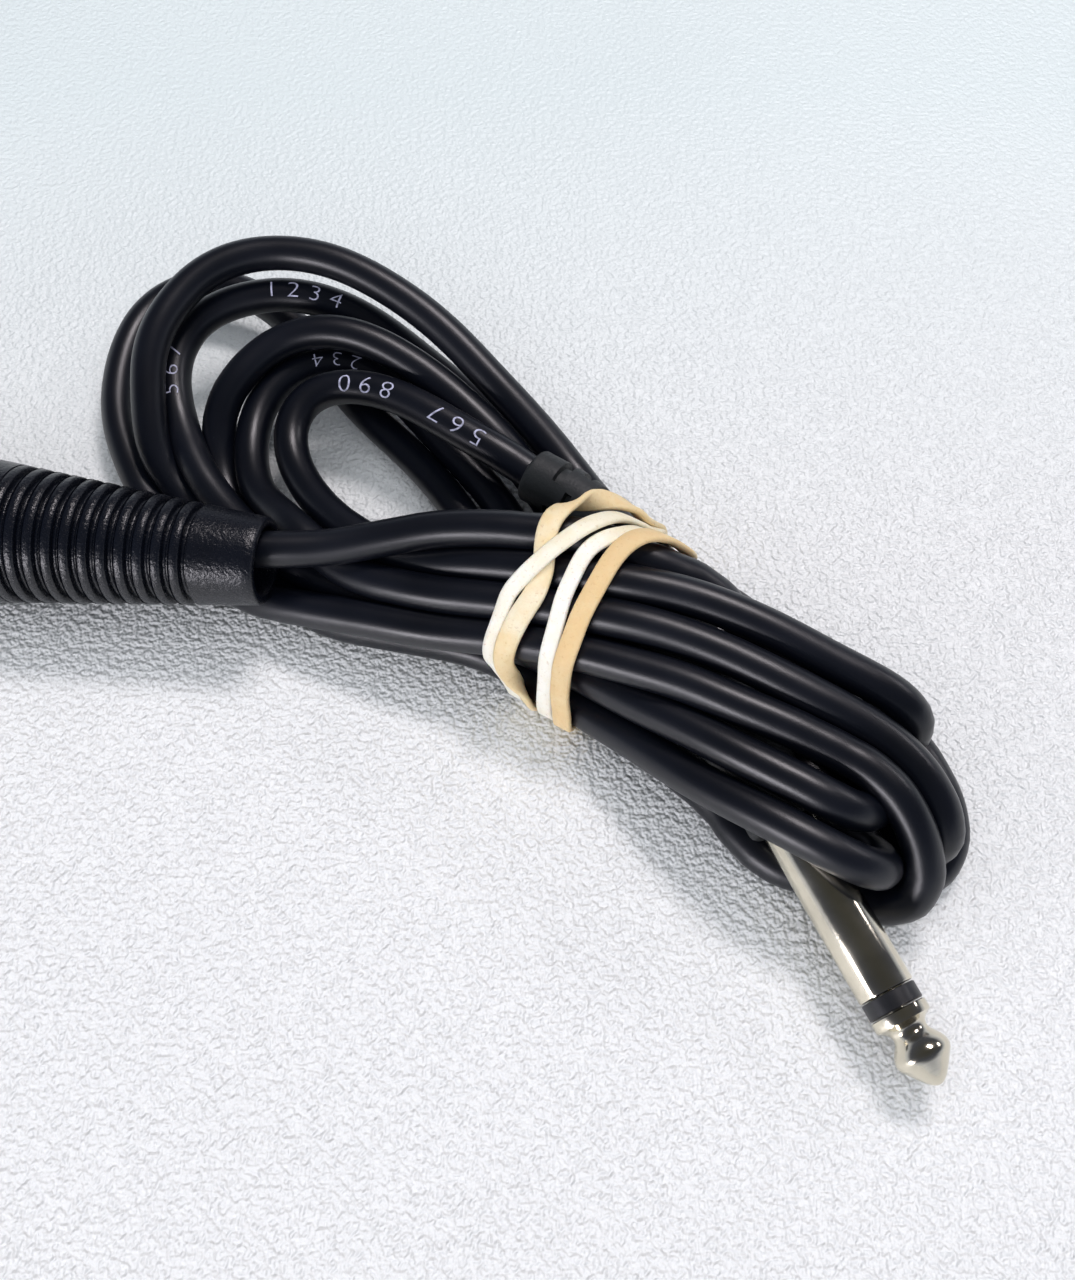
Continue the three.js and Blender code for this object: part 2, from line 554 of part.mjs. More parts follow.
// everything that the coil's outer shape has to stay clear of, grown by the gap
function coilClearance() {
  const socketBody = turned([[0, -gap], [boot.exitRadius + gap, -gap], [boot.frontRadius + gap,
    boot.length - boot.frontLand],
    [boot.frontRadius + gap, boot.length], [0, boot.length]]);
  const handleBody = rod(handle.radius + gap, -handle.length - gap, matingRoom, 24);
  const sleeveBody = rod(sleeve.radius + gap, -1, sleeve.length, 24);
  const reliefBody = cordAlong(runPoints(runKnot(runBack.length - 1), reliefSpan[1] + 0.01, 12),
    relief.radius + gap, 12, 16);
  const leads = [cordAlong(socketRun.slice(4), cordDiameter / 2 + gap, 24),
    cordAlong(runPoints(reliefSpan[1], 1, 10), cordDiameter / 2 + gap, 10)];
  return [inFrame(socketGroup, socketBody), inFrame(plugGroup, handleBody), inFrame(plugGroup, sleeveBody),
    reliefBody, ...leads];
}

const bundleTurn = THREE.MathUtils.degToRad(bundleHeading);
const bundleFrame = new THREE.Matrix4().makeBasis(
  new THREE.Vector3(-Math.sin(bundleTurn), Math.cos(bundleTurn), 0), new THREE.Vector3(0, 0, 1),
  new THREE.Vector3(Math.cos(bundleTurn), Math.sin(bundleTurn), 0)).setPosition(bundleCentre);

// the bundle's cross-section, grown outwards and drawn out along the bundle
function bundlePrism(grow, half) {
  const middle = [2, 10];
  const grown = bundleSection.map(([x, y]) => {
    const reach = Math.hypot(x - middle[0], y - middle[1]);
    return [x + (x - middle[0]) / reach * grow, y + (y - middle[1]) / reach * grow];
  });
  const shape = smoothShape(grown, 26);
  const prism = new THREE.ExtrudeGeometry(shape, { depth: 2 * half, bevelEnabled: false }).translate(0, 0,
    -half);
  const corners = prism.getAttribute('position');
  for (let i = 0; i < corners.count; i++) {
    const [x, z] = [corners.getX(i), corners.getZ(i)];
    if (x > middle[0]) corners.setX(i, x - (x - middle[0]) * bundleTaper * (z + bandZone) / (2 * bandZone));
  }
  return solid(prism.applyMatrix4(bundleFrame));
}

function makeCoil() {
  const zone = block([-beyond, -beyond, -bandZone], [beyond, beyond, bandZone]).transform(bundleFrame.elements);
  const lobes = join(slab(coilOutline, coilHeight.all), slab(archOutline, coilHeight.arch),
    slab(bundleOutline, coilHeight.bundle));
  const window = solid(new THREE.ExtrudeGeometry(smoothShape(coilWindow, 24),
    { depth: beyond, bevelEnabled: false })
    .translate(0, 0, -beyond / 2));
  const floor = block([-beyond, -beyond, -beyond], [beyond, beyond, tableHeight]);
  return cut(join(cut(lobes, zone, window), bundlePrism(0, bandZone + 1)), floor, ...coilClearance());
}

function makeBand() {
  const wall = cut(bundlePrism(gap + band.thickness, bandZone), bundlePrism(gap, bandZone + 1));
  const strips = bandStrips.map(({ place: at, turn, lean }) =>
    block([-beyond, -beyond, -band.width / 2], [beyond, beyond, band.width / 2]).rotate([lean, turn, 0])
      .translate([0, 0, at])
      .transform(bundleFrame.elements));
  return join(...strips).intersect(wall);
}

// a lead stops a gap short of the coil that it runs into
function endedShort(points) {
  const [last, before] = [points.at(-1), points.at(-2)];
  const step = before.clone().sub(last).setLength(gap);
  return [...points.slice(0, -1), last.clone().add(step)];
}

function buildCord() {
  place(world, 'cable_lead_xlr', cordAlong(endedShort(socketRun), cordDiameter / 2, 40), cordJacket);
  place(world, 'cable_lead_jack', cordAlong(endedShort(runPoints(0, 1, 30)), cordDiameter / 2, 30), cordJacket);
  place(world, 'cable_coil', makeCoil(), cordJacket);
  place(world, 'rubber_band', makeBand(), tanRubber);
}

// ---------- the whole object ----------

const world = new THREE.Group();
buildSocketConnector();
buildPlug();
world.add(socketGroup, plugGroup);
const connectors = new THREE.Box3().setFromObject(world, true);
const tableHeight = connectors.min.z;
buildCord();
const middle = connectors.getCenter(new THREE.Vector3());
world.position.set(-middle.x, -middle.y, -tableHeight);

const model = new THREE.Group();
model.add(world);
export default model;
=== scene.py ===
"""A coiled instrument cable with its two connectors and its rubber band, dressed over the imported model."""
import functools
import math

import bmesh
import bpy
import numpy as np
from mathutils import Matrix, Vector


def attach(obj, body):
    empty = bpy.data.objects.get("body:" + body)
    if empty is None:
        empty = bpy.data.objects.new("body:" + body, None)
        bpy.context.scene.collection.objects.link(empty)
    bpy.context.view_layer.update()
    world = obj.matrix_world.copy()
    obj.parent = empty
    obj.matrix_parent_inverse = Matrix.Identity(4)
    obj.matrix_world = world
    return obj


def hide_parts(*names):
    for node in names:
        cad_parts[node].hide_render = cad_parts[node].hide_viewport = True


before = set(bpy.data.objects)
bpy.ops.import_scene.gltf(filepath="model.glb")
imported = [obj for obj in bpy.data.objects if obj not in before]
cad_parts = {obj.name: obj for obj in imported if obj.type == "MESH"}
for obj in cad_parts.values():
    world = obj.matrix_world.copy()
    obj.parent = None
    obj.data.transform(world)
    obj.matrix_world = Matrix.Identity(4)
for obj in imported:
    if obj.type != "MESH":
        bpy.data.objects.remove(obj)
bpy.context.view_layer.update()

bl_info = {
    "name": "Instrument Cable",
    "version": (1, 0, 0),
    "blender": (4, 5, 0),
    "location": "3D View > Sidebar > Cable",
    "description": "Dresses the packed cable with its wound cord, rubber band, connectors and materials",
    "category": "Object",
}

MM = 0.001
BODY = "cable"
CREASE = math.radians(38)      # the least bend that shows as an edge
SAME_POINT = 1e-7              # points closer than this are one point, in metres
TINY = 1e-9                    # keeps a division from one by nothing
# the desk's own origin, at the middle of the bundle, seen from the model's origin
DESK = Vector((33.4746, 13.9225, -0.0359)) * MM


# ---------- colours ----------

def rgb(code):
    """A colour written as sRGB hex, in linear light"""
    parts = [int(code[i:i + 2], 16) / 255 for i in (1, 3, 5)]
    return tuple(c / 12.92 if c <= 0.04045 else ((c + 0.055) / 1.055) ** 2.4 for c in parts) + (1.0,)


def shade(colour, level):
    """A colour in linear light, made lighter or darker"""
    return tuple(min(1.0, part * level) for part in colour[:3]) + (1.0,)


# ---------- sizes and colours that the panel shows ----------

class CableSizes(bpy.types.PropertyGroup):
    """Sizes and colours of the pieces that are made here"""
    cord_colour: bpy.props.FloatVectorProperty(
        name="Cord colour", description="Colour of the cord's jacket", default=rgb("#070A12")[:3],
        subtype="COLOR", min=0, max=1)
    boot_colour: bpy.props.FloatVectorProperty(
        name="Boot colour", description="Colour of the socket's ribbed boot", default=rgb("#070A12")[:3],
        subtype="COLOR", min=0, max=1)
    relief_colour: bpy.props.FloatVectorProperty(
        name="Relief colour", description="Colour of the plug's handle and strain relief",
        default=rgb("#1C1F20")[:3], subtype="COLOR", min=0, max=1)
    band_colour: bpy.props.FloatVectorProperty(
        name="Band colour", description="Colour of the rubber band where it isn't bleached",
        default=rgb("#DDC08D")[:3], subtype="COLOR", min=0, max=1)
    plating_colour: bpy.props.FloatVectorProperty(
        name="Plating colour", description="Colour of the nickel plating", default=rgb("#E0D9C6")[:3],
        subtype="COLOR", min=0, max=1)
    ink_colour: bpy.props.FloatVectorProperty(
        name="Ink colour", description="Colour of the printed length numbers", default=rgb("#B4B6CC")[:3],
        subtype="COLOR", min=0, max=1)
    cord_diameter: bpy.props.FloatProperty(
        name="Cord diameter", description="Outer diameter of the cord's jacket", default=0.0045,
        subtype="DISTANCE", unit="LENGTH")
    bend_radius: bpy.props.FloatProperty(
        name="Bend radius", description="The cord's folds are eased towards this radius", default=0.006,
        subtype="DISTANCE", unit="LENGTH")
    band_thickness: bpy.props.FloatProperty(
        name="Band thickness", description="Thickness of the rubber band", default=0.0008,
        subtype="DISTANCE", unit="LENGTH")
    round_sides: bpy.props.IntProperty(
        name="Round sides", description="Sides of each turned piece", default=96, min=24, max=256)
    lamp_level: bpy.props.FloatProperty(
        name="Lamp level", description="Strength of all lamps together", default=1.0, min=0.0)


# ---------- places, in the model's frame ----------

def on_desk(x, y, z):
    """A point measured in millimetres on the desk, in the model's frame"""
    return Vector((x, y, z)) * MM + DESK


def lying(point, heading, rise):
    """A frame at a point whose Z axis follows a heading and whose Y axis points up"""
    yaw, pitch = math.radians(heading), math.radians(rise)
    along = Vector((math.cos(yaw) * math.cos(pitch), math.sin(yaw) * math.cos(pitch), math.sin(pitch)))
    across = Vector((0, 0, 1)).cross(along).normalized()
    up = along.cross(across)
    matrix = Matrix((across, up, along)).transposed().to_4x4()
    matrix.translation = point
    return matrix


# from the cord's exit towards the contacts, and from the plug's shoulder towards its tip
SOCKET = lying(on_desk(-32.7, 6.1, 12.2), 171.1, -2.537)
PLUG = lying(on_desk(28.2, -26.1, 7.8), -64, -4)


def at_socket(x, y, z):
    return SOCKET @ (Vector((x, y, z)) * MM)


def at_plug(x, y, z):
    return PLUG @ (Vector((x, y, z)) * MM)


# ---------- shared mesh helpers ----------

def new_piece(name, mesh, material, replaced=()):
    """Links a mesh as a piece of the cable, its material and the nodes that it stands for"""
    piece = bpy.data.objects.new(name, mesh)
    bpy.context.scene.collection.objects.link(piece)
    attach(piece, BODY)
    if replaced:
        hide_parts(*replaced)
    piece.data.materials.append(material)
    return piece


def ring_faces(rings, sides, closed=False):
    """Four-sided faces between rings of points, and from the last ring to the first if closed"""
    faces = []
    for i in range(rings if closed else rings - 1):
        here, after = i * sides, (i + 1) % rings * sides
        for k in range(sides):
            n = (k + 1) % sides
            faces.append((here + k, here + n, after + n, after + k))
    return faces


def mesh_from(name, points, faces, smooth=True, sharp=CREASE):
    """A mesh whose edges show where they bend by more than the sharp angle"""
    mesh = bpy.data.meshes.new(name)
    mesh.from_pydata([tuple(p) for p in points], [], faces)
    mesh.validate()
    mesh.polygons.foreach_set("use_smooth", [smooth] * len(mesh.polygons))
    if smooth:
        mesh.set_sharp_from_angle(angle=sharp)
    return mesh


def turned(name, profile, place, sides=None):
    """A closed turned piece: (radius, station) pairs in millimetres, about the place's Z axis"""
    sides = sides or bpy.context.scene.cable_sizes.round_sides
    turns = [2 * math.pi * k / sides for k in range(sides)]
    points = [place @ (Vector((radius * math.cos(turn), radius * math.sin(turn), station)) * MM)
              for radius, station in profile for turn in turns]
    faces = [face for face in ring_faces(len(profile), sides, closed=True)
             if profile[face[0] // sides][0] > 0 or profile[face[2] // sides][0] > 0]
    mesh = mesh_from(name, points, faces)
    work = bmesh.new()
    work.from_mesh(mesh)
    bmesh.ops.remove_doubles(work, verts=work.verts, dist=SAME_POINT)
    bmesh.ops.recalc_face_normals(work, faces=work.faces)
    work.to_mesh(mesh)
    work.free()
    mesh.set_sharp_from_angle(angle=CREASE)
    return mesh


def block(low, high, place):
    """A box between two corners in millimetres, in a frame"""
    work = bmesh.new()
    bmesh.ops.create_cube(work, size=1)
    size, middle = [(b - a) for a, b in zip(low, high)], [(a + b) / 2 for a, b in zip(low, high)]
    for vert in work.verts:
        vert.co = place @ (Vector([c * s + m for c, s, m in zip(vert.co, size, middle)]) * MM)
    bmesh.ops.recalc_face_normals(work, faces=work.faces)
    mesh = bpy.data.meshes.new("cutter")
    work.to_mesh(mesh)
    work.free()
    return mesh


def cut_away(piece, cutters):
    """Cuts closed meshes out of a piece and keeps the result in its mesh"""
    tools = []
    for mesh in cutters:
        tool = bpy.data.objects.new("cutter", mesh)
        bpy.context.scene.collection.objects.link(tool)
        cut = piece.modifiers.new("cut", "BOOLEAN")
        cut.operation, cut.solver, cut.object = "DIFFERENCE", "EXACT", tool
        tools.append(tool)
    shape = bpy.data.meshes.new_from_object(piece.evaluated_get(bpy.context.evaluated_depsgraph_get()))
    piece.modifiers.clear()
    piece.data = shape
    for tool in tools:
        bpy.data.objects.remove(tool)
    shape.set_sharp_from_angle(angle=CREASE)


def smooth_course(points, step):
    """A smooth curve through points, as rows an even step apart"""
    knots = np.vstack([2 * points[0] - points[1], points, 2 * points[-1] - points[-2]])
    rows = []
    for p0, p1, p2, p3 in zip(knots, knots[1:], knots[2:], knots[3:]):      # a centripetal curve
        t1 = np.linalg.norm(p1 - p0) ** 0.5
        t2 = t1 + np.linalg.norm(p2 - p1) ** 0.5
        t3 = t2 + np.linalg.norm(p3 - p2) ** 0.5
        count = max(2, int(np.linalg.norm(p2 - p1) / (step / 4)))
        t = np.linspace(t1, t2, count, endpoint=False)[:, None]
        a1 = (t1 - t) / t1 * p0 + t / t1 * p1
        a2 = (t2 - t) / (t2 - t1) * p1 + (t - t1) / (t2 - t1) * p2
        a3 = (t3 - t) / (t3 - t2) * p2 + (t - t2) / (t3 - t2) * p3
        b1 = (t2 - t) / t2 * a1 + t / t2 * a2
        b2 = (t3 - t) / (t3 - t1) * a2 + (t - t1) / (t3 - t1) * a3
        rows.append((t2 - t) / (t2 - t1) * b1 + (t - t1) / (t2 - t1) * b2)
    rows = np.vstack(rows + [points[-1:]])
    run = np.concatenate([[0], np.cumsum(np.linalg.norm(np.diff(rows, axis=0), axis=1))])
    marks = np.linspace(0, run[-1], int(round(run[-1] / step)) + 1)
    return np.stack([np.interp(marks, run, rows[:, k]) for k in range(3)], axis=1)


def bell(reach, width):
    """Weights that fall off smoothly to both sides and add up to one"""
    weights = np.exp(-0.5 * (np.arange(-reach, reach + 1) / width) ** 2)
    return weights / weights.sum()


def smoothed(values, weights, ends):
    """Values averaged with those beside them. Past its ends a row keeps its last value or wraps round."""
    return np.convolve(np.pad(values, len(weights) // 2, mode=ends), weights, mode="valid")


def carried_frames(course, first_up=(0, 0, 1)):
    """Two directions across the course at each row, carried along it without twisting"""
    tangents = np.gradient(course, axis=0)
    tangents /= np.linalg.norm(tangents, axis=1)[:, None]
    side = np.cross(first_up, tangents[0])
    side /= np.linalg.norm(side)
    sides = []
    for tangent in tangents:
        side = side - tangent * (side @ tangent)
        side = side / np.linalg.norm(side)
        sides.append(side)
    sides = np.array(sides)
    return tangents, sides, np.cross(tangents, sides)


def round_tube(name, course, radius, sides=24):
    """A round tube with flat ends along a course given in metres"""
    _, across, up = carried_frames(course)
    turns = np.linspace(0, 2 * math.pi, sides, endpoint=False)
    rings = [course[i] + radius * (math.cos(t) * across[i] + math.sin(t) * up[i])
             for i in range(len(course)) for t in turns]
    last = (len(course) - 1) * sides
    ends = [tuple(range(sides - 1, -1, -1)), tuple(last + k for k in range(sides))]
    return mesh_from(name, rings, ring_faces(len(course), sides) + ends)


# ---------- material helpers ----------

NOISE_LOW, NOISE_HIGH = 0.3, 0.7      # a noise pattern stays mostly between these


def node(tree, kind, sockets=None, out=0, stops=(), **settings):
    """Adds a node with its settings, fills its sockets with values or links, and gives one of its outputs"""
    added = tree.nodes.new(kind)
    for key, value in settings.items():
        setattr(added, key, value)
    for position, _ in stops[2:]:
        added.color_ramp.elements.new(position)
    for count, (position, colour) in enumerate(stops):
        added.color_ramp.elements[count].position = position
        added.color_ramp.elements[count].color = colour
    for key, value in (sockets or {}).items():
        if isinstance(value, bpy.types.NodeSocket):
            tree.links.new(value, added.inputs[key])
        else:
            added.inputs[key].default_value = value
    return added.outputs[out] if added.outputs else added


def grain(size):
    """A pattern's scale, from the real size of one of its grains in millimetres"""
    return 1 / (size * MM)


def new_material(name):
    """An empty material, its node tree and the object's own coordinates in metres"""
    material = bpy.data.materials.new(name)
    material.use_nodes = True
    material.node_tree.nodes.clear()
    return material, material.node_tree, node(material.node_tree, "ShaderNodeTexCoord", out="Object")


def finished(material, tone, gloss, relief=(), surface=None):
    """Gives a material its surface. The tone is a link or (pattern, dark, light), the gloss a number or
    (pattern, low, high), and each relief is (pattern, depth), laid over the one before."""
    tree, sockets = material.node_tree, dict(surface or {})
    if isinstance(tone, tuple):
        pattern, dark, light = tone
        tone = node(tree, "ShaderNodeValToRGB", {"Fac": pattern},
                    stops=[(NOISE_LOW, dark), (NOISE_HIGH, light)])
    if isinstance(gloss, tuple):
        pattern, low, high = gloss
        gloss = node(tree, "ShaderNodeMapRange", {
            "Value": pattern, "From Min": NOISE_LOW, "From Max": NOISE_HIGH, "To Min": low, "To Max": high})
    for pattern, depth in relief:
        below = {"Normal": sockets["Normal"]} if "Normal" in sockets else {}
        sockets["Normal"] = node(tree, "ShaderNodeBump", {
            "Height": pattern, "Distance": depth, "Strength": 1.0, **below})
    shader = node(tree, "ShaderNodeBsdfPrincipled", {"Base Color": tone, "Roughness": gloss, **sockets})
    node(tree, "ShaderNodeOutputMaterial", {"Surface": shader})
    return material


# ---------- materials ----------

# Powder, tool marks and the skins of moulded parts are finer than the render can show, so they are
# drawn as coarse as they need to be. Every other pattern has its real size.

def jacket_pvc():
    """Flexible PVC, extruded over the cores. The die leaves a smooth satin skin, handling leaves soft
    patches that are a little duller and greyer, and a few grains of dust cling to it."""
    colour = bpy.context.scene.cable_sizes.cord_colour
    material, tree, place = new_material("jacket_pvc_extruded")
    patches = node(tree, "ShaderNodeTexNoise", {"Vector": place, "Scale": grain(14), "Detail": 3})
    dust = node(tree, "ShaderNodeTexNoise", {
        "Vector": place, "Scale": grain(1.1), "Detail": 4, "Roughness": 0.7})
    fine = node(tree, "ShaderNodeTexNoise", {"Vector": place, "Scale": grain(0.25)})
    skin = node(tree, "ShaderNodeValToRGB", {"Fac": patches},
                stops=[(NOISE_LOW, shade(colour, 0.8)), (NOISE_HIGH, shade(colour, 1.3))])
    specks = node(tree, "ShaderNodeMapRange", {
        "Value": dust, "From Min": 0.72, "From Max": 0.80, "To Max": 0.4})
    tone = node(tree, "ShaderNodeMix", {"Factor": specks, "A": skin, "B": rgb("#4A4A50")}, out="Result",
                data_type="RGBA")
    return finished(material, tone, (patches, 0.32, 0.40), [(dust, 0.01 * MM), (fine, 0.008 * MM)],
                    {"IOR": 1.52})


def boot_pvc():
    """Soft PVC, injection moulded in a spark-eroded tool. The tool prints a fine leathery grain that
    breaks the shine into small dots."""
    colour = bpy.context.scene.cable_sizes.boot_colour
    material, tree, place = new_material("boot_pvc_moulded")
    pores = node(tree, "ShaderNodeTexNoise", {"Vector": place, "Scale": grain(0.45), "Roughness": 0.6})
    fine = node(tree, "ShaderNodeTexNoise", {"Vector": place, "Scale": grain(0.18), "Roughness": 0.6})
    patches = node(tree, "ShaderNodeTexNoise", {"Vector": place, "Scale": grain(9)})
    return finished(material, (patches, shade(colour, 0.8), shade(colour, 1.3)), (fine, 0.24, 0.36),
                    [(fine, 0.02 * MM), (pores, 0.09 * MM)])


def relief_pvc():
    """Soft PVC moulded over the plug. It has the eroded grain of its tool and a dull grey bloom."""
    colour = bpy.context.scene.cable_sizes.relief_colour
    material, tree, place = new_material("relief_pvc_moulded")
    fine = node(tree, "ShaderNodeTexNoise", {
        "Vector": place, "Scale": grain(0.4), "Detail": 3, "Roughness": 0.6})
    patches = node(tree, "ShaderNodeTexNoise", {"Vector": place, "Scale": grain(6)})
    return finished(material, (patches, shade(colour, 0.8), shade(colour, 1.25)), (fine, 0.46, 0.62),
                    [(fine, 0.06 * MM)])


def nickel(turned_about):
    """Brass, turned and nickel plated. The cutter leaves faint rings round the turned axis, and use
    leaves duller rubbed patches."""
    colour = bpy.context.scene.cable_sizes.plating_colour
    material, tree, place = new_material("nickel_on_turned_brass")
    # stretched across the axis, so that the pattern closes into rings
    lathe = node(tree, "ShaderNodeMapping", {
        "Vector": place, "Rotation": turned_about.to_euler(), "Scale": (25, 25, 1)}, vector_type="TEXTURE")
    rings = node(tree, "ShaderNodeTexNoise", {"Vector": lathe, "Scale": grain(0.25)})
    rubs = node(tree, "ShaderNodeTexNoise", {"Vector": place, "Scale": grain(4), "Detail": 3})
    return finished(material, (rubs, shade(colour, 0.88), shade(colour, 1.06)), (rubs, 0.11, 0.20),
                    [(rings, 0.004 * MM)], {"Metallic": 1.0})


def worked_metal(name, light, dark, gloss, line_width):
    """A drawn, rolled or stamped metal with a fine grain and slightly uneven tarnish"""
    material, tree, place = new_material(name)
    tarnish = node(tree, "ShaderNodeTexNoise", {"Vector": place, "Scale": grain(3), "Detail": 3})
    lines = node(tree, "ShaderNodeTexNoise", {"Vector": place, "Scale": grain(line_width)})
    return finished(material, (tarnish, rgb(dark), rgb(light)), (tarnish, gloss, gloss + 0.12),
                    [(lines, 0.006 * MM)], {"Metallic": 1.0})


def moulded_resin(name, light, dark, gloss):
    """A hard moulded resin with a faint flow pattern and an even gloss"""
    material, tree, place = new_material(name)
    flow = node(tree, "ShaderNodeTexNoise", {"Vector": place, "Scale": grain(6)})
    skin = node(tree, "ShaderNodeTexNoise", {"Vector": place, "Scale": grain(0.4)})
    return finished(material, (flow, rgb(dark), rgb(light)), (flow, gloss, gloss + 0.1), [(skin, 0.01 * MM)])


def print_ink():
    """Vinyl ink, jet printed on the jacket. It dries thin, so it is pale grey-lilac and a little worn."""
    colour = bpy.context.scene.cable_sizes.ink_colour
    material, tree, place = new_material("vinyl_ink_printed")
    wear = node(tree, "ShaderNodeTexNoise", {
        "Vector": place, "Scale": grain(0.6), "Detail": 3, "Roughness": 0.6})
    tone = node(tree, "ShaderNodeValToRGB", {"Fac": wear},
                stops=[(0.34, shade(colour, 0.45)), (0.55, shade(colour, 1.0))])
    return finished(material, tone, (wear, 0.45, 0.6))


def band_rubber():
    """Natural rubber, calendered into sheet and slit. The cut strip stays chalky, with cream and tan
    clouds, darker flecks and a fine powdery skin."""
    colour = bpy.context.scene.cable_sizes.band_colour
    material, tree, place = new_material("band_rubber_natural")
    bleach = node(tree, "ShaderNodeAttribute", out="Fac", attribute_name="bleach")
    cloud = node(tree, "ShaderNodeTexNoise", {
        "Vector": place, "Scale": grain(3), "Detail": 5, "Roughness": 0.65})
    powder = node(tree, "ShaderNodeTexNoise", {
        "Vector": place, "Scale": grain(0.4), "Detail": 3, "Roughness": 0.6})
    uneven = node(tree, "ShaderNodeMapRange", {"Value": cloud, "From Min": NOISE_LOW, "From Max": NOISE_HIGH,
                                               "To Min": -0.16, "To Max": 0.16})
    paleness = node(tree, "ShaderNodeMath", {0: bleach, 1: uneven}, operation="ADD")
    tone = node(tree, "ShaderNodeValToRGB", {"Fac": paleness}, stops=[
        (0.0, shade(colour, 1.0)), (0.3, rgb("#E4CFA2")), (0.65, rgb("#E9E2C8")), (1.0, rgb("#F1EEE2"))])
    flecks = node(tree, "ShaderNodeMapRange", {
        "Value": powder, "From Min": 0.60, "From Max": 0.72, "To Max": 0.35})
    skin = node(tree, "ShaderNodeMix", {"Factor": flecks, "A": tone, "B": rgb("#B98F5E")}, out="Result",
                data_type="RGBA")
    return finished(material, skin, (powder, 0.52, 0.72), [(powder, 0.04 * MM)], {
        "Subsurface Weight": 0.2, "Subsurface Scale": 1.2 * MM, "Subsurface Radius": (1.0, 0.6, 0.35)})


# ---------- the cord ----------

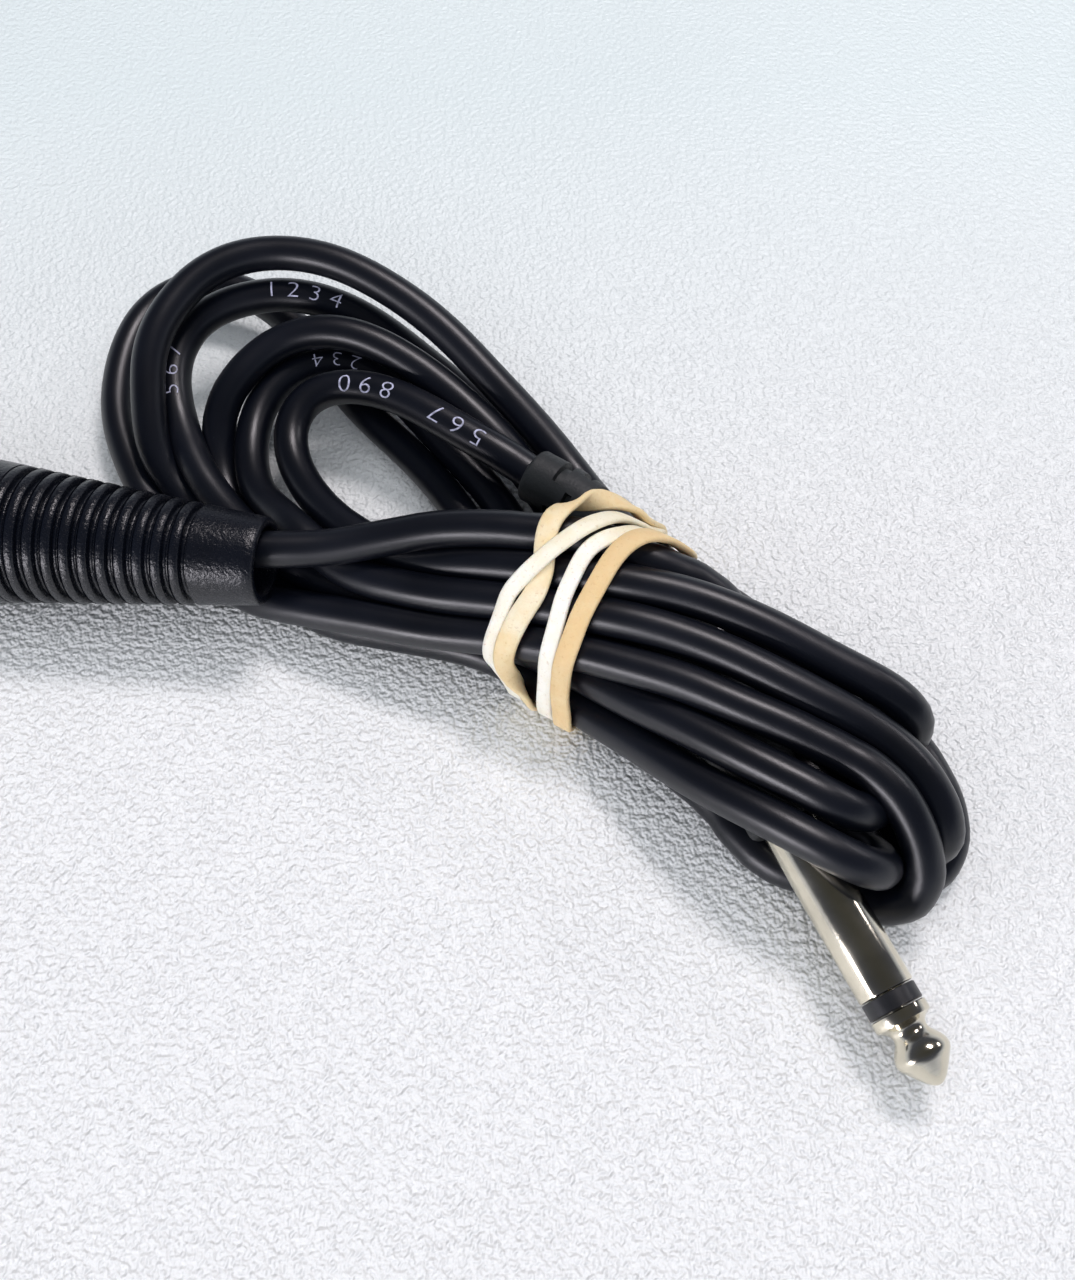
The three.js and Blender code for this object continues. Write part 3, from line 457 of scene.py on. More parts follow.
# The cord's course on the desk, in millimetres, from the socket connector to the plug. The near
# strands run to the right over the plug, fold down and go back under it, and each loop on the left
# brings the next strand. A stretch that is seen keeps its place better than one that lies hidden.
SEEN, HIDDEN = 0.25, 1.0
SOCKET_LEAD = [(-25, 7.5, 13.2), (-18.5, 8, 14.4), (-12, 8.2, 16), (-3.6, 7.1, 17.7)]
PLUG_LEAD = [(-9, 25.5, 12), (-4.5, 22.6, 11.6)]
COURSE = [
    (SEEN, [(2.5, 5.7, 18.3), (7.5, 4.5, 18), (14, 2.4, 15.8), (18.5, 0.6, 13.4), (22.5, -1.8, 10.6)]),
    # the back fold, and home along the table
    (HIDDEN, [(27.5, -5.2, 7.8), (33.5, -9.4, 5.8)]),
    (SEEN, [(39.8, -13.2, 5.6), (43, -16.6, 5.4), (45, -19.6, 5.2), (45.8, -23, 4.8)]),
    (HIDDEN, [(44.8, -26.8, 3.8), (41.4, -28.6, 2.6), (37.6, -26, 2.3), (33, -20.6, 2.3),
        (27.5, -14.5, 2.3), (20.5, -7.5, 2.3), (14, -1, 2.3), (8.5, 5, 2.3), (4, 11, 2.8)]),
    # the third loop from the inside
    (SEEN, [(2.9, 18.1, 5.2), (-0.6, 22.6, 7), (-5.5, 27.8, 9.2), (-13, 34.4, 11.5), (-19.6, 38.4, 13.2),
        (-25.5, 40.6, 14), (-31.5, 40.8, 13.5), (-36.5, 39, 12), (-39.5, 36, 11), (-42, 33, 9),
        (-43.5, 30, 7), (-43.8, 25.5, 5.4), (-41.5, 20.5, 3.8)]),
    # under the plug, and up over the front fold
    (HIDDEN, [(-37, 16, 2.5), (-30, 12.5, 2.3), (-20, 9, 2.3), (-10, 5.5, 2.3), (-3, 1.5, 2.3),
        (3.5, -4, 2.3), (9.5, -9.5, 2.3), (16.5, -15.4, 2.3), (23.5, -21, 2.3), (29.5, -25.6, 2.3),
        (35, -30.2, 2.3)]),
    (SEEN, [(39, -33.2, 3), (41.8, -33.6, 5.4), (42.8, -31.2, 8), (41.8, -28.6, 10.4), (39.5, -26, 12.4),
        (36.5, -22.5, 14), (33, -19.5, 15), (29, -17.5, 15.6), (23.5, -15.5, 15.9), (20.5, -14, 15.9),
        (16.5, -11.8, 15.6), (11.5, -9.7, 14.8), (6.5, -7.5, 14), (0.5, -5, 12.8), (-6, -2, 11.2),
        (-11.5, -0.8, 9.8), (-20.5, 1.5, 7.8), (-29, 4, 6), (-34.5, 8, 3.8)]),
    # the lowest loop, by way of the boot's underside
    (SEEN, [(-39.6, 12, 2.3), (-44.4, 15.8, 2.3), (-48.4, 19.6, 2.4), (-51.3, 23.4, 3), (-53.5, 26.5, 3.5),
        (-55.5, 30.5, 4), (-57, 35, 4.5), (-57.5, 40.5, 5), (-57, 46, 5.5), (-55, 51.5, 6), (-51, 55, 6.5),
        (-46, 56, 6.8), (-40, 54, 6.6), (-35, 50, 6), (-30.5, 45, 5.4), (-26.5, 39, 4.8), (-22.5, 34, 4.4),
        (-18.5, 30, 3.8), (-14.5, 26, 3.1), (-11.5, 22, 2.6)]),
    (HIDDEN, [(-5.5, 13, 2.3), (0, 6, 2.3), (5.5, -0.5, 2.3), (12, -5, 2.3), (19, -9.5, 2.3),
        (26, -15.5, 2.4), (32.5, -21.5, 3), (37.2, -27, 5.4)]),
    # the fold that crosses the plug's shaft
    (SEEN, [(38.6, -30.8, 8.6), (36.5, -32.3, 11.4), (33, -31.6, 13.2), (30, -30.3, 13.9),
        (27, -28.5, 13.7), (23.5, -26.2, 13), (20, -23.6, 11.8), (16, -20.2, 10), (12, -16.2, 8),
        (7.5, -12, 6), (2.5, -7.2, 4.2), (-2, -3.4, 3), (-6, -1, 2.5), (-12, 1, 2.3), (-17.5, 2.5, 2.3),
        (-22.5, 4.2, 2.3), (-27.5, 5.8, 2.3)]),
    # the tall outer loop
    (SEEN, [(-33, 8.6, 2.3), (-38.5, 12.5, 2.4), (-42.8, 17, 3), (-46.2, 22.5, 4.2), (-48.5, 26.5, 7),
        (-49.8, 30.5, 10), (-50.5, 33.8, 12), (-50.5, 36.8, 14), (-49.5, 40, 15.5), (-47.5, 43.8, 16.5),
        (-44.5, 47.4, 17.5), (-39.5, 50.2, 18), (-33.6, 51, 18), (-27, 49.6, 17.8), (-21.8, 47.2, 17),
        (-16.6, 44, 15.8), (-11.4, 39.8, 14.2), (-6.4, 34.7, 12.2), (-1.1, 29.4, 9.6), (4, 23.4, 6.8),
        (6.8, 19, 5.4)]),
    (HIDDEN, [(10.5, 13, 4.4), (15.5, 8.5, 3.4), (22, 3, 3), (28.5, -3, 3.4), (34, -9.5, 5.2),
        (38, -16, 7.2)]),
    (SEEN, [(39.5, -22, 9.6), (38, -25.6, 12.4), (34.5, -26.5, 14.2), (30.5, -25, 15), (25, -22, 15.1),
        (20, -18.8, 14.2), (16, -15.8, 13), (11.5, -12.6, 11.4), (7.5, -9.4, 10), (2.5, -6, 9),
        (-2, -3.2, 7.8), (-6, -1.5, 7), (-12, 0.7, 6.2), (-17, 2.3, 5.8), (-22, 4.5, 5.6),
        (-27.5, 7.6, 5.8)]),
    # the second loop from the outside
    (SEEN, [(-33.5, 12, 6.4), (-38.5, 16.5, 5.8), (-42.5, 21, 5.2), (-45.2, 25, 5.8), (-47.2, 28.8, 6.8),
        (-48.5, 33, 8), (-48.8, 37.6, 9.2), (-48.2, 41.2, 10.2), (-46.8, 44, 11), (-44.5, 46, 12),
        (-41.3, 47, 12.6), (-37.3, 48.1, 13), (-32.2, 48.1, 13), (-26.1, 46.7, 12), (-20.7, 44.1, 10.4),
        (-16.4, 41.3, 8.6), (-11.8, 38.1, 6.8), (-6.4, 33.4, 5), (-0.5, 26.6, 3.6), (4.5, 20.4, 2.6)]),
    (HIDDEN, [(8, 15.5, 2.3), (12.5, 9.5, 2.3), (17, 3.5, 2.3), (24, -2.5, 2.3), (31, -10, 2.4),
        (36.4, -17, 2.5), (40.4, -23, 2.6)]),
    (SEEN, [(42.6, -28.4, 3.2), (44.4, -30, 5.6), (44.6, -28.8, 8.4), (43.4, -25.6, 11.4),
        (41, -21.8, 13.2), (38, -19, 14.3), (33, -16.5, 15.6), (26, -12, 16.8), (19, -8.2, 17),
        (13, -5.7, 17), (8, -4, 16.6), (2, -2, 15), (-4.5, 0, 13.4), (-11.5, 1.7, 11.8), (-18, 3.8, 10.4),
        (-24.5, 6.6, 9.2), (-30, 10.6, 8.2)]),
    # the second loop from the inside
    (SEEN, [(-34.2, 15.5, 7), (-36.8, 20.5, 6.2), (-37.8, 25.5, 6), (-38, 30, 6.4), (-36.8, 34.6, 7.4),
        (-33.5, 38, 8.5), (-28, 40, 8.8), (-23, 39.3, 7.8), (-18.5, 36, 6.6), (-14, 31, 5.4),
        (-10, 26.5, 4.4), (-5.5, 21, 3.4)]),
    (HIDDEN, [(0, 9.5, 4.4), (5, 4.5, 5.2), (10.5, 1.5, 5), (16, -1, 4.4), (22.5, -4.5, 4.4),
        (29.5, -8.6, 5), (36, -12, 5.6), (40.2, -14.2, 6.4)]),
    (SEEN, [(43, -15.6, 8.2), (43.7, -15.3, 10.8), (42.4, -14.2, 13), (39.8, -12.7, 14.4), (33, -9.4, 16),
        (26.5, -6.1, 17.2), (21, -3.7, 17.8), (15.5, -1.7, 18), (10, -0.4, 17.9), (4, 1.2, 17),
        (-2, 2.6, 15.6), (-9, 4.4, 13.8), (-15, 6.8, 12), (-20.5, 10, 10.4)]),
    # the inner loop, on its way to the plug
    (SEEN, [(-25.5, 14.6, 8.8), (-29.2, 19.5, 7.8), (-31.5, 24, 7.4), (-32.5, 28, 8), (-31.5, 32, 9.2),
        (-28, 34.2, 10.3), (-23.5, 33.9, 11), (-18, 31.6, 11.8), (-13.5, 28.6, 12.1)]),
]
COURSE_STEP = 2.0                      # between the rows that the settling moves
BOOT_INSIDE = [(0, 0, 40), (0, 0, 30), (-0.1, 0.1, 20), (-0.6, 0.3, 10), (-1.3, 0.7, 0)]
PLUG_INSIDE = [16.5, 22, 26, 30]       # from the plug's shoulder
RELIEF_GUIDE, RELIEF_END = (6, 15.2, 10.6), (-0.6, 20.2, 10.6)

# The cord settles in rounds of small moves. A hidden row gives way more easily than a seen one.
ROUNDS = 360
SPREAD_EVERY = 8                       # rounds, after which the moves are spread along the cord
STIFF_LENGTH = bell(12, 4.5)           # in rows
SEEN_HOLD, HIDDEN_HOLD = 0.05, 0.01    # how much of its move a row takes back in each round
SEEN_STIFF, HIDDEN_STIFF = 0.9, 0.5    # how much of its move is spread along the cord
NEXT_ROWS = 7                          # rows this close along the cord never push each other
WATCHED = 2.5                          # strands this far apart may come to touch before the next spreading
TABLE_GAP = 0.06                       # kept between the jacket and the table
HANDLE_RADIUS = 4.5
# The boot, the plug's handle and its shaft: where each starts and ends, its radius there, and how many of
# the cord's last rows may touch it.
KEPT_CLEAR = [
    (at_socket(0, 0, 0), at_socket(0, 0, 45), 5.4, 8.9, 0),
    (at_plug(0, 0, -30), at_plug(0, 0, 0), HANDLE_RADIUS, HANDLE_RADIUS, 6),
    (at_plug(0, 0, 0), at_plug(0, 0, 28), 3.2, 3.2, 6),
]
ROWS_IN_RELIEF = 26


def desk_mm(point):
    """A point of the model, in millimetres on the desk"""
    return tuple((point - DESK) / MM)


def relief_course():
    """From inside the plug through the bent strain relief and out to the coil, in desk millimetres"""
    inside = [desk_mm(at_plug(0, 0, -back)) for back in PLUG_INSIDE]
    return inside + [RELIEF_GUIDE, RELIEF_END] + PLUG_LEAD[::-1]


def whole_course():
    """The cord's course before it settles, with each row's freedom to move"""
    held = [desk_mm(at_socket(*at)) for at in BOOT_INSIDE] + SOCKET_LEAD
    stations, freedom = [], []
    for mark, points in [(0.0, held), *COURSE, (0.0, relief_course()[::-1])]:
        stations += points
        freedom += [mark] * len(points)
    stations = np.array(stations, float)
    rows = smooth_course(stations, COURSE_STEP)
    nearest = [int(np.argmin(((stations - row) ** 2).sum(axis=1))) for row in rows]
    return rows, np.array([freedom[i] for i in nearest])


def ease_bends(rows, moving, radius):
    """Moves rows so that the bends open towards a radius"""
    for step in (2, 3, 4):
        lift = rows[step:-step] - 0.5 * (rows[:-2 * step] + rows[2 * step:])
        size = np.linalg.norm(lift, axis=1)[:, None] + TINY
        over = np.clip(size - (step * COURSE_STEP) ** 2 / (2 * radius), 0, None) * moving[step:-step]
        shift = lift / size * over
        rows[step:-step] -= 0.5 * shift
        rows[:-2 * step] += 0.22 * shift * moving[:-2 * step]
        rows[2 * step:] += 0.22 * shift * moving[2 * step:]


def part_strands(rows, free, first, second, width):
    """Moves rows so that strands don't sink into each other; the freer one of two moves more"""
    part = rows[first] - rows[second]
    size = np.linalg.norm(part, axis=1) + TINY
    tight = size < width
    a, b = first[tight], second[tight]
    share = free[a] + free[b] + TINY
    push = ((width - size[tight]) / size[tight])[:, None] * part[tight]
    moved, hits = np.zeros_like(rows), np.zeros(len(rows))
    np.add.at(moved, a, push * (free[a] / share)[:, None])
    np.add.at(moved, b, -push * (free[b] / share)[:, None])
    np.add.at(hits, a, 1)
    np.add.at(hits, b, 1)
    rows += 0.7 * moved / np.maximum(hits, 1)[:, None] ** 0.8


def keep_clear(rows, free, solids, width):
    """Moves rows out of the connectors"""
    left = len(rows) - np.arange(len(rows))
    for start, end, start_radius, end_radius, spared in solids:
        axis = end - start
        along = (rows - start) @ axis / (axis @ axis)
        held = np.clip(along, 0, 1)
        away = rows - start - held[:, None] * axis
        size = np.linalg.norm(away, axis=1) + TINY
        clear = start_radius + (end_radius - start_radius) * held + width / 2
        inside = (size < clear) & (free > 0) & (along > 0) & (left > spared)
        rows[inside] += 0.6 * away[inside] / size[inside, None] * (clear - size)[inside, None]


def settled_course():
    """The wound cord, pushed apart where strands touch, kept off the connectors and eased at its bends"""
    sizes = bpy.context.scene.cable_sizes
    width, lowest = sizes.cord_diameter / MM, sizes.cord_diameter / MM / 2 + TABLE_GAP
    target, free = whole_course()
    rows, order, seen = target.copy(), np.arange(len(target)), free <= SEEN
    moving = (free > 0).astype(float)[:, None]
    hold = np.where(seen, SEEN_HOLD, HIDDEN_HOLD)[:, None]
    stiff = np.where(seen, SEEN_STIFF, HIDDEN_STIFF)[:, None] * moving
    solids = [(np.array(desk_mm(start)), np.array(desk_mm(end)), *rest) for start, end, *rest in KEPT_CLEAR]
    bent = smooth_course(np.array(relief_course()[3:6]), 6.0)
    solids += [(a, b, RELIEF["radius"], RELIEF["radius"], ROWS_IN_RELIEF) for a, b in zip(bent, bent[1:])]
    for turn in range(ROUNDS):
        if turn % SPREAD_EVERY == 0:
            apart = ((rows[:, None] - rows[None]) ** 2).sum(axis=-1)
            far_along = np.abs(order[:, None] - order[None]) > NEXT_ROWS
            near = (apart < (width + WATCHED) ** 2) & far_along
            first, second = np.nonzero(np.triu(near))
            # the cord is stiff, so a push at one place moves a length of it
            moved = rows - target
            even = np.stack([smoothed(moved[:, k], STIFF_LENGTH, "edge") for k in range(3)], axis=1)
            rows = target + moved * (1 - stiff) + even * stiff
        rows += hold * (target - rows) * moving
        ease_bends(rows, moving, sizes.bend_radius / MM)
        for _ in range(3):
            part_strands(rows, free, first, second, width)
            keep_clear(rows, free, solids, width)
            rows[:, 2] = np.maximum(rows[:, 2], lowest)
    for _ in range(8):                 # takes out small ripples and leaves the bends
        sag, curl = np.zeros_like(rows), np.zeros_like(rows)
        sag[1:-1] = 0.5 * (rows[:-2] + rows[2:]) - rows[1:-1]
        curl[2:-2] = sag[2:-2] - 0.5 * (sag[1:-3] + sag[3:-1])
        rows += 0.5 * curl * moving
    rows[:, 2] = np.maximum(rows[:, 2], lowest)
    return rows


@functools.cache
def cord_rows():
    """The settled cord, one row per millimetre, in the model's frame"""
    return smooth_course(settled_course(), 1.0) * MM + np.array(DESK)


class CABLE_OT_cord(bpy.types.Operator):
    """Winds the cord and lets it settle around the connectors"""
    bl_idname = "cable.cord"
    bl_label = "Wind the Cord"

    def execute(self, context):
        sizes = context.scene.cable_sizes
        mesh = round_tube("wound_cord", cord_rows(), sizes.cord_diameter / 2)
        new_piece("wound_cord", mesh, jacket_pvc(),
                  ("cable_lead_xlr", "cable_lead_jack", "cable_coil"))
        return {"FINISHED"}


# ---------- the rubber band ----------

# the bundle's own frame: along it, away from the photo's side, and up
BAND_AXIS, BAND_FAR, BAND_UP = np.array([(0.866, -0.5, 0), (0.5, 0.866, 0), (0, 0, 1)])
BAND_CENTRE = np.array((6, 0, 9))
BAND_SAMPLES, BAND_DEGREES = 720, 1440
BAND_REACH, REACH_TURN = 12, 2.0       # how far along and how finely round the bundle is measured
RELIEF_LAST, HANDLE_LAST = 38, 16      # the cord's last rows that lie in the strain relief and the handle
# The band goes four times round the bundle. Each row gives the angle from the far side over the top,
# the place along the bundle, how far it stands off, its roll, its width, and how pale it is.
BAND_TURNS = [
    (20, 0.2, 0.8, 0, 2.4, 0.3), (30, -1.6, 1.0, 10, 2.4, 0.2), (38, -3.4, 0.9, 30, 2.5, 0.2),
    (46, -5.0, 0.6, 70, 2.6, 0.2), (56, -5.7, 0.5, 118, 2.6, 0.2), (66, -6.2, 0.6, 155, 2.6, 0.2),
    (75, -6.9, 0.5, 176, 2.6, 0.3), (84, -6.6, 0.1, 180, 2.5, 0.4), (100, -5.0, 0.0, 180, 2.5, 0.4),
    (118, -4.5, 0.2, 180, 2.6, 0.5), (138, -5.0, 0.7, 180, 2.7, 0.5), (152, -5.0, 0.9, 185, 2.6, 0.4),
    (165, -4.6, 0.9, 205, 2.3, 0.2), (180, -4.0, 0.6, 250, 2.2, 0.2), (195, -2.4, 0.3, 320, 2.3, 0.3),
    (220, -1.6, 0.0, 360, 2.5, 0.4), (300, -0.4, 0.0, 360, 2.5, 0.5),
    (380, 1.8, 0.2, 360, 2.2, 0.5), (396, 0.2, 0.4, 360, 2.2, 0.55), (423, -1.5, 0.5, 360, 2.1, 0.6),
    (435, -3.2, 0.7, 360, 2.0, 0.65), (450, -4.9, 1.0, 360, 2.0, 0.7), (468, -6.4, 0.9, 360, 2.0, 0.85),
    (484, -7.4, 0.5, 352, 2.0, 0.9), (500, -7.3, 0.1, 345, 1.9, 0.85), (520, -7.1, 0.0, 350, 1.8, 0.9),
    (545, -5.9, 0.0, 360, 1.9, 0.9), (565, -4.1, 0.0, 360, 2.1, 0.8), (640, 0.5, 0.0, 360, 2.3, 0.6),
    (745, 3.4, 0.0, 360, 2.0, 0.6), (775, 2.1, 0.0, 360, 2.0, 0.6), (785, 0.7, 0.0, 360, 2.0, 0.65),
    (793, -0.8, 0.0, 360, 2.0, 0.75), (799, -1.5, 0.0, 360, 2.0, 0.9), (808, -1.6, 0.0, 360, 2.0, 1.0),
    (830, -1.4, 0.0, 360, 1.95, 1.0), (850, -0.7, 0.0, 360, 1.95, 1.0), (872, 0.0, 0.0, 360, 1.95, 1.0),
    (895, 0.3, 0.0, 360, 2.0, 1.0), (912, 0.5, 0.0, 360, 2.1, 0.9), (1000, 3.5, 0.0, 360, 2.4, 0.4),
    (1100, 6.9, 0.1, 360, 2.4, 0.1), (1118, 5.9, 0.3, 360, 2.4, 0.05), (1132, 4.4, 0.5, 360, 2.4, 0.05),
    (1141, 3.0, 0.7, 360, 2.4, 0.05), (1149, 2.1, 0.7, 360, 2.4, 0.0), (1160, 1.7, 0.6, 360, 2.4, 0.0),
    (1182, 1.6, 0.4, 360, 2.4, 0.0), (1200, 1.6, 0.4, 360, 2.4, 0.0), (1216, 1.9, 0.5, 360, 2.4, 0.0),
    (1234, 2.2, 0.6, 360, 2.4, 0.05), (1256, 2.5, 0.5, 360, 2.4, 0.05), (1275, 3.6, 0.2, 360, 2.4, 0.1),
    (1380, 2.0, 0.0, 360, 2.5, 0.2),
]


def wrapped_outline(points):
    """The outline of a set of flat points that a stretched band would follow"""
    points = points[np.lexsort((points[:, 1], points[:, 0]))]
    halves = []
    for side in (points, points[::-1]):
        kept = []
        for point in side:
            while len(kept) > 1:
                a, b = kept[-1] - kept[-2], point - kept[-2]
                if a[0] * b[1] - a[1] * b[0] > 0:
                    break
                kept.pop()
            kept.append(point)
        halves += kept[:-1]
    return np.array(halves)


def reach_of_bundle(places, angles):
    """How far out the band lies at each place along the bundle and each angle round it, in millimetres"""
    rows = (cord_rows() - np.array(DESK)) / MM - BAND_CENTRE
    radii = np.full(len(rows), round(bpy.context.scene.cable_sizes.cord_diameter / MM / 2, 3))
    radii[-RELIEF_LAST:] = RELIEF["radius"]
    radii[-HANDLE_LAST:] = HANDLE_RADIUS
    flat, along = np.stack([rows @ BAND_FAR, rows @ BAND_UP], axis=1), rows @ BAND_AXIS
    turns = np.linspace(0, 2 * math.pi, 24, endpoint=False)
    ring = np.stack([np.cos(turns), np.sin(turns)], axis=1)
    table = []
    for place in places:
        near = np.abs(along - place) < 1.5
        # the band's middle lies a little more than half its thickness off the strands
        spots = (flat[near][:, None] + (radii[near, None, None] + 0.45) * ring[None]).reshape(-1, 2)
        outline = wrapped_outline(spots)
        edges = np.roll(outline, -1, axis=0) - outline
        line = []
        for angle in angles:
            way = (math.cos(angle), math.sin(angle))
            cross = way[0] * edges[:, 1] - way[1] * edges[:, 0]
            cross = np.where(np.abs(cross) < TINY, TINY, cross)
            out = (outline[:, 0] * edges[:, 1] - outline[:, 1] * edges[:, 0]) / cross
            share = (outline[:, 0] * way[1] - outline[:, 1] * way[0]) / cross
            line.append(out[(out > 0) & (share >= -1e-6) & (share <= 1 + 1e-6)].max())
        table.append(line)
    return np.array(table)


def read_between(table, row, column):
    """Values of a table at places between its rows and its columns"""
    base, rest = np.floor(row).astype(int), row % 1
    low, part = np.floor(column).astype(int), column % 1
    return ((table[base, low] * (1 - part) + table[base, low + 1] * part) * (1 - rest)
            + (table[base + 1, low] * (1 - part) + table[base + 1, low + 1] * part) * rest)


def band_mesh():
    """One closed ribbon that follows the bundle's outline through its four turns"""
    table, whole = np.array(BAND_TURNS), (BAND_DEGREES, 0, 0, 360, 0, 0)
    knots = np.vstack([table[-3:] - whole, table, table[:3] + whole])
    turn = np.linspace(0, BAND_DEGREES, BAND_SAMPLES, endpoint=False) + BAND_TURNS[0][0]
    place, lift, sharp_roll, width, pale = [np.interp(turn, knots[:, 0], knots[:, k]) for k in range(1, 6)]
    steady = turn / 4                           # the roll of a band that turns over once in its four turns
    place, lift, roll, width, pale = [
        smoothed(column, bell(7, 2.3), "wrap") for column in (place, lift, sharp_roll - steady, width, pale)]
    roll = np.where(np.abs(roll + steady - sharp_roll) > 40, sharp_roll, roll + steady)
    places = np.arange(-BAND_REACH, BAND_REACH + 0.5, 1.0)
    reach = reach_of_bundle(places, np.radians(np.arange(0, 360, REACH_TURN)))
    reach = np.array([smoothed(line, bell(4, 1.6), "wrap") for line in reach])
    reach = np.hstack([reach, reach[:, :1]])
    here = read_between(reach, np.clip(place + BAND_REACH, 0, len(places) - 1.001), turn % 360 / REACH_TURN)
    angle = np.radians(turn % 360)[:, None]
    out = np.cos(angle) * BAND_FAR + np.sin(angle) * BAND_UP
    course = BAND_CENTRE + place[:, None] * BAND_AXIS + (here + lift)[:, None] * out
    thick = bpy.context.scene.cable_sizes.band_thickness / MM
    course[:, 2] = np.maximum(course[:, 2], thick / 2 + 0.05)
    tangent = np.roll(course, -1, axis=0) - np.roll(course, 1, axis=0)
    tangent /= np.linalg.norm(tangent, axis=1)[:, None]
    side = np.tile(BAND_AXIS, (BAND_SAMPLES, 1))
    side -= tangent * (side * tangent).sum(axis=1)[:, None]
    side /= np.linalg.norm(side, axis=1)[:, None]
    normal = np.cross(side, tangent)
    tip = np.radians(roll)[:, None]
    across = np.cos(tip) * side + np.sin(tip) * normal
    proud = np.cos(tip) * normal - np.sin(tip) * side
    deep, corner = thick / 2, thick * 0.3
    points, paleness = [], []
    for i in range(BAND_SAMPLES):
        half = width[i] / 2
        outline = [(half, -deep + corner), (half, deep - corner), (half - corner, deep), (0, deep * 1.08),
                   (-half + corner, deep), (-half, deep - corner), (-half, -deep + corner),
                   (-half + corner, -deep), (0, -deep), (half - corner, -deep)]
        for x, y in outline:
            spot = course[i] + x * across[i] + y * proud[i]
            spot[2] = max(spot[2], TABLE_GAP)
            points.append(on_desk(*spot))
            paleness.append(pale[i])
    faces = [(a, d, c, b) for a, b, c, d in ring_faces(BAND_SAMPLES, len(outline), closed=True)]
    mesh = mesh_from("rubber_band", points, faces, sharp=math.radians(50))
    bleach = mesh.attributes.new("bleach", "FLOAT", "POINT")
    bleach.data.foreach_set("value", paleness)
    return mesh


# each printed mark's figures, place on the desk, way along the cord and height
PRINT_MARKS = [
    ("1 2 3 4", (-31, 48, 13), 1, 2.3), ("5 6 7", (-48.6, 37.4, 9.2), 1, 2.2),
    ("2 3 4", (-27, 40, 8.8), -1, 2.0), ("8 9 0", (-21.5, 33.4, 11.2), -1, 2.5),
    ("5 6 7", (-10, 26.4, 12), -1, 2.5),
]
MARK_FACING = Vector((0.05, -0.40, 0.91))
FONT_HEIGHT, FONT_SPREAD = 1.35, 1.2   # the font's size for figures one high, and their wider spacing
INK_DEPTH = 0.02 * MM


def printed_figures(context, digits, height):
    """Thin flat figures, cut finely enough to bend round the cord"""
    text = bpy.data.curves.new("digits", "FONT")
    text.body, text.size, text.align_x, text.align_y = digits, height * MM * FONT_HEIGHT, "CENTER", "CENTER"
    text.offset, text.extrude, text.resolution_u = -0.06 * MM, INK_DEPTH, 6
    holder = bpy.data.objects.new("digits", text)
    context.scene.collection.objects.link(holder)
    flat = bpy.data.meshes.new_from_object(holder.evaluated_get(context.evaluated_depsgraph_get()))
    bpy.data.objects.remove(holder)
    work = bmesh.new()
    work.from_mesh(flat)
    bmesh.ops.remove_doubles(work, verts=work.verts, dist=SAME_POINT)
    for normal, step in (((1, 0, 0), 0.0005), ((0, 1, 0), 0.00025)):
        reach = max(abs(vert.co.dot(Vector(normal))) for vert in work.verts)
        for k in range(-int(reach / step), int(reach / step) + 1):
            cut = [c * k * step for c in normal]
            parts = work.verts[:] + work.edges[:] + work.faces[:]
            bmesh.ops.bisect_plane(work, geom=parts, plane_co=cut, plane_no=normal)
    return work


class CABLE_OT_print_marks(bpy.types.Operator):
    """Prints plain length numbers on the cord's jacket"""
    bl_idname = "cable.print_marks"
    bl_label = "Print the Length Numbers"

    def execute(self, context):
        rows = cord_rows()
        radius = context.scene.cable_sizes.cord_diameter / 2
        ink = print_ink()
        for count, (digits, spot, way, height) in enumerate(PRINT_MARKS):
            work = printed_figures(context, digits, height)
            start = int(np.argmin(((rows - np.array(on_desk(*spot))) ** 2).sum(axis=1)))
            for vert in work.verts:
                at = start + way * vert.co.x * FONT_SPREAD / MM
                low = int(at)
                centre = Vector(rows[low]).lerp(Vector(rows[low + 1]), at - low)
                along = Vector(rows[low + 2] - rows[low - 1]).normalized()
                out = (MARK_FACING - along * MARK_FACING.dot(along)).normalized()
                turn = way * vert.co.y / radius
                out = math.cos(turn) * out + math.sin(turn) * out.cross(along)
                vert.co = centre + out * (radius + INK_DEPTH + vert.co.z)
            mesh = bpy.data.meshes.new("print_marks_%d" % (count + 1))
            work.to_mesh(mesh)
            work.free()
            new_piece(mesh.name, mesh, ink)
        return {"FINISHED"}


class CABLE_OT_band(bpy.types.Operator):
    """Winds the rubber band four times round the bundle"""
    bl_idname = "cable.band"
    bl_label = "Wind the Rubber Band"

    def execute(self, context):
        band = new_piece("wound_rubber_band", band_mesh(), band_rubber(), ("rubber_band",))
        [tuple(row) for row in cord_rows()[::2]]
        return {"FINISHED"}


# ---------- the socket connector ----------

BOOT = {"length": 45, "exit": 5.35, "front": 9.1, "collar": 7.8, "land": 8, "hole": 4.2}
RIBS = {"count": 11, "pitch": 2.16, "groove": 0.95, "depth": 0.8}
# inside the shell, as (radius, station)
BOOT_NECK = [(7.2, 44.85), (7.2, 48.2), (5.6, 48.2), (5.6, 37), (5.3, 36), (5.3, 21.7)]
# where the mould's halves met: a low line along the collar
SEAM = {"from": 0.6, "to": 7.6, "inside": 4.6, "angle": math.pi * 0.42, "half_angle": 0.012, "height": 0.05}


def boot_radius(at):
    slope = (BOOT["front"] - BOOT["exit"]) / (BOOT["length"] - BOOT["land"])
    return min(BOOT["exit"] + slope * at, BOOT["front"])


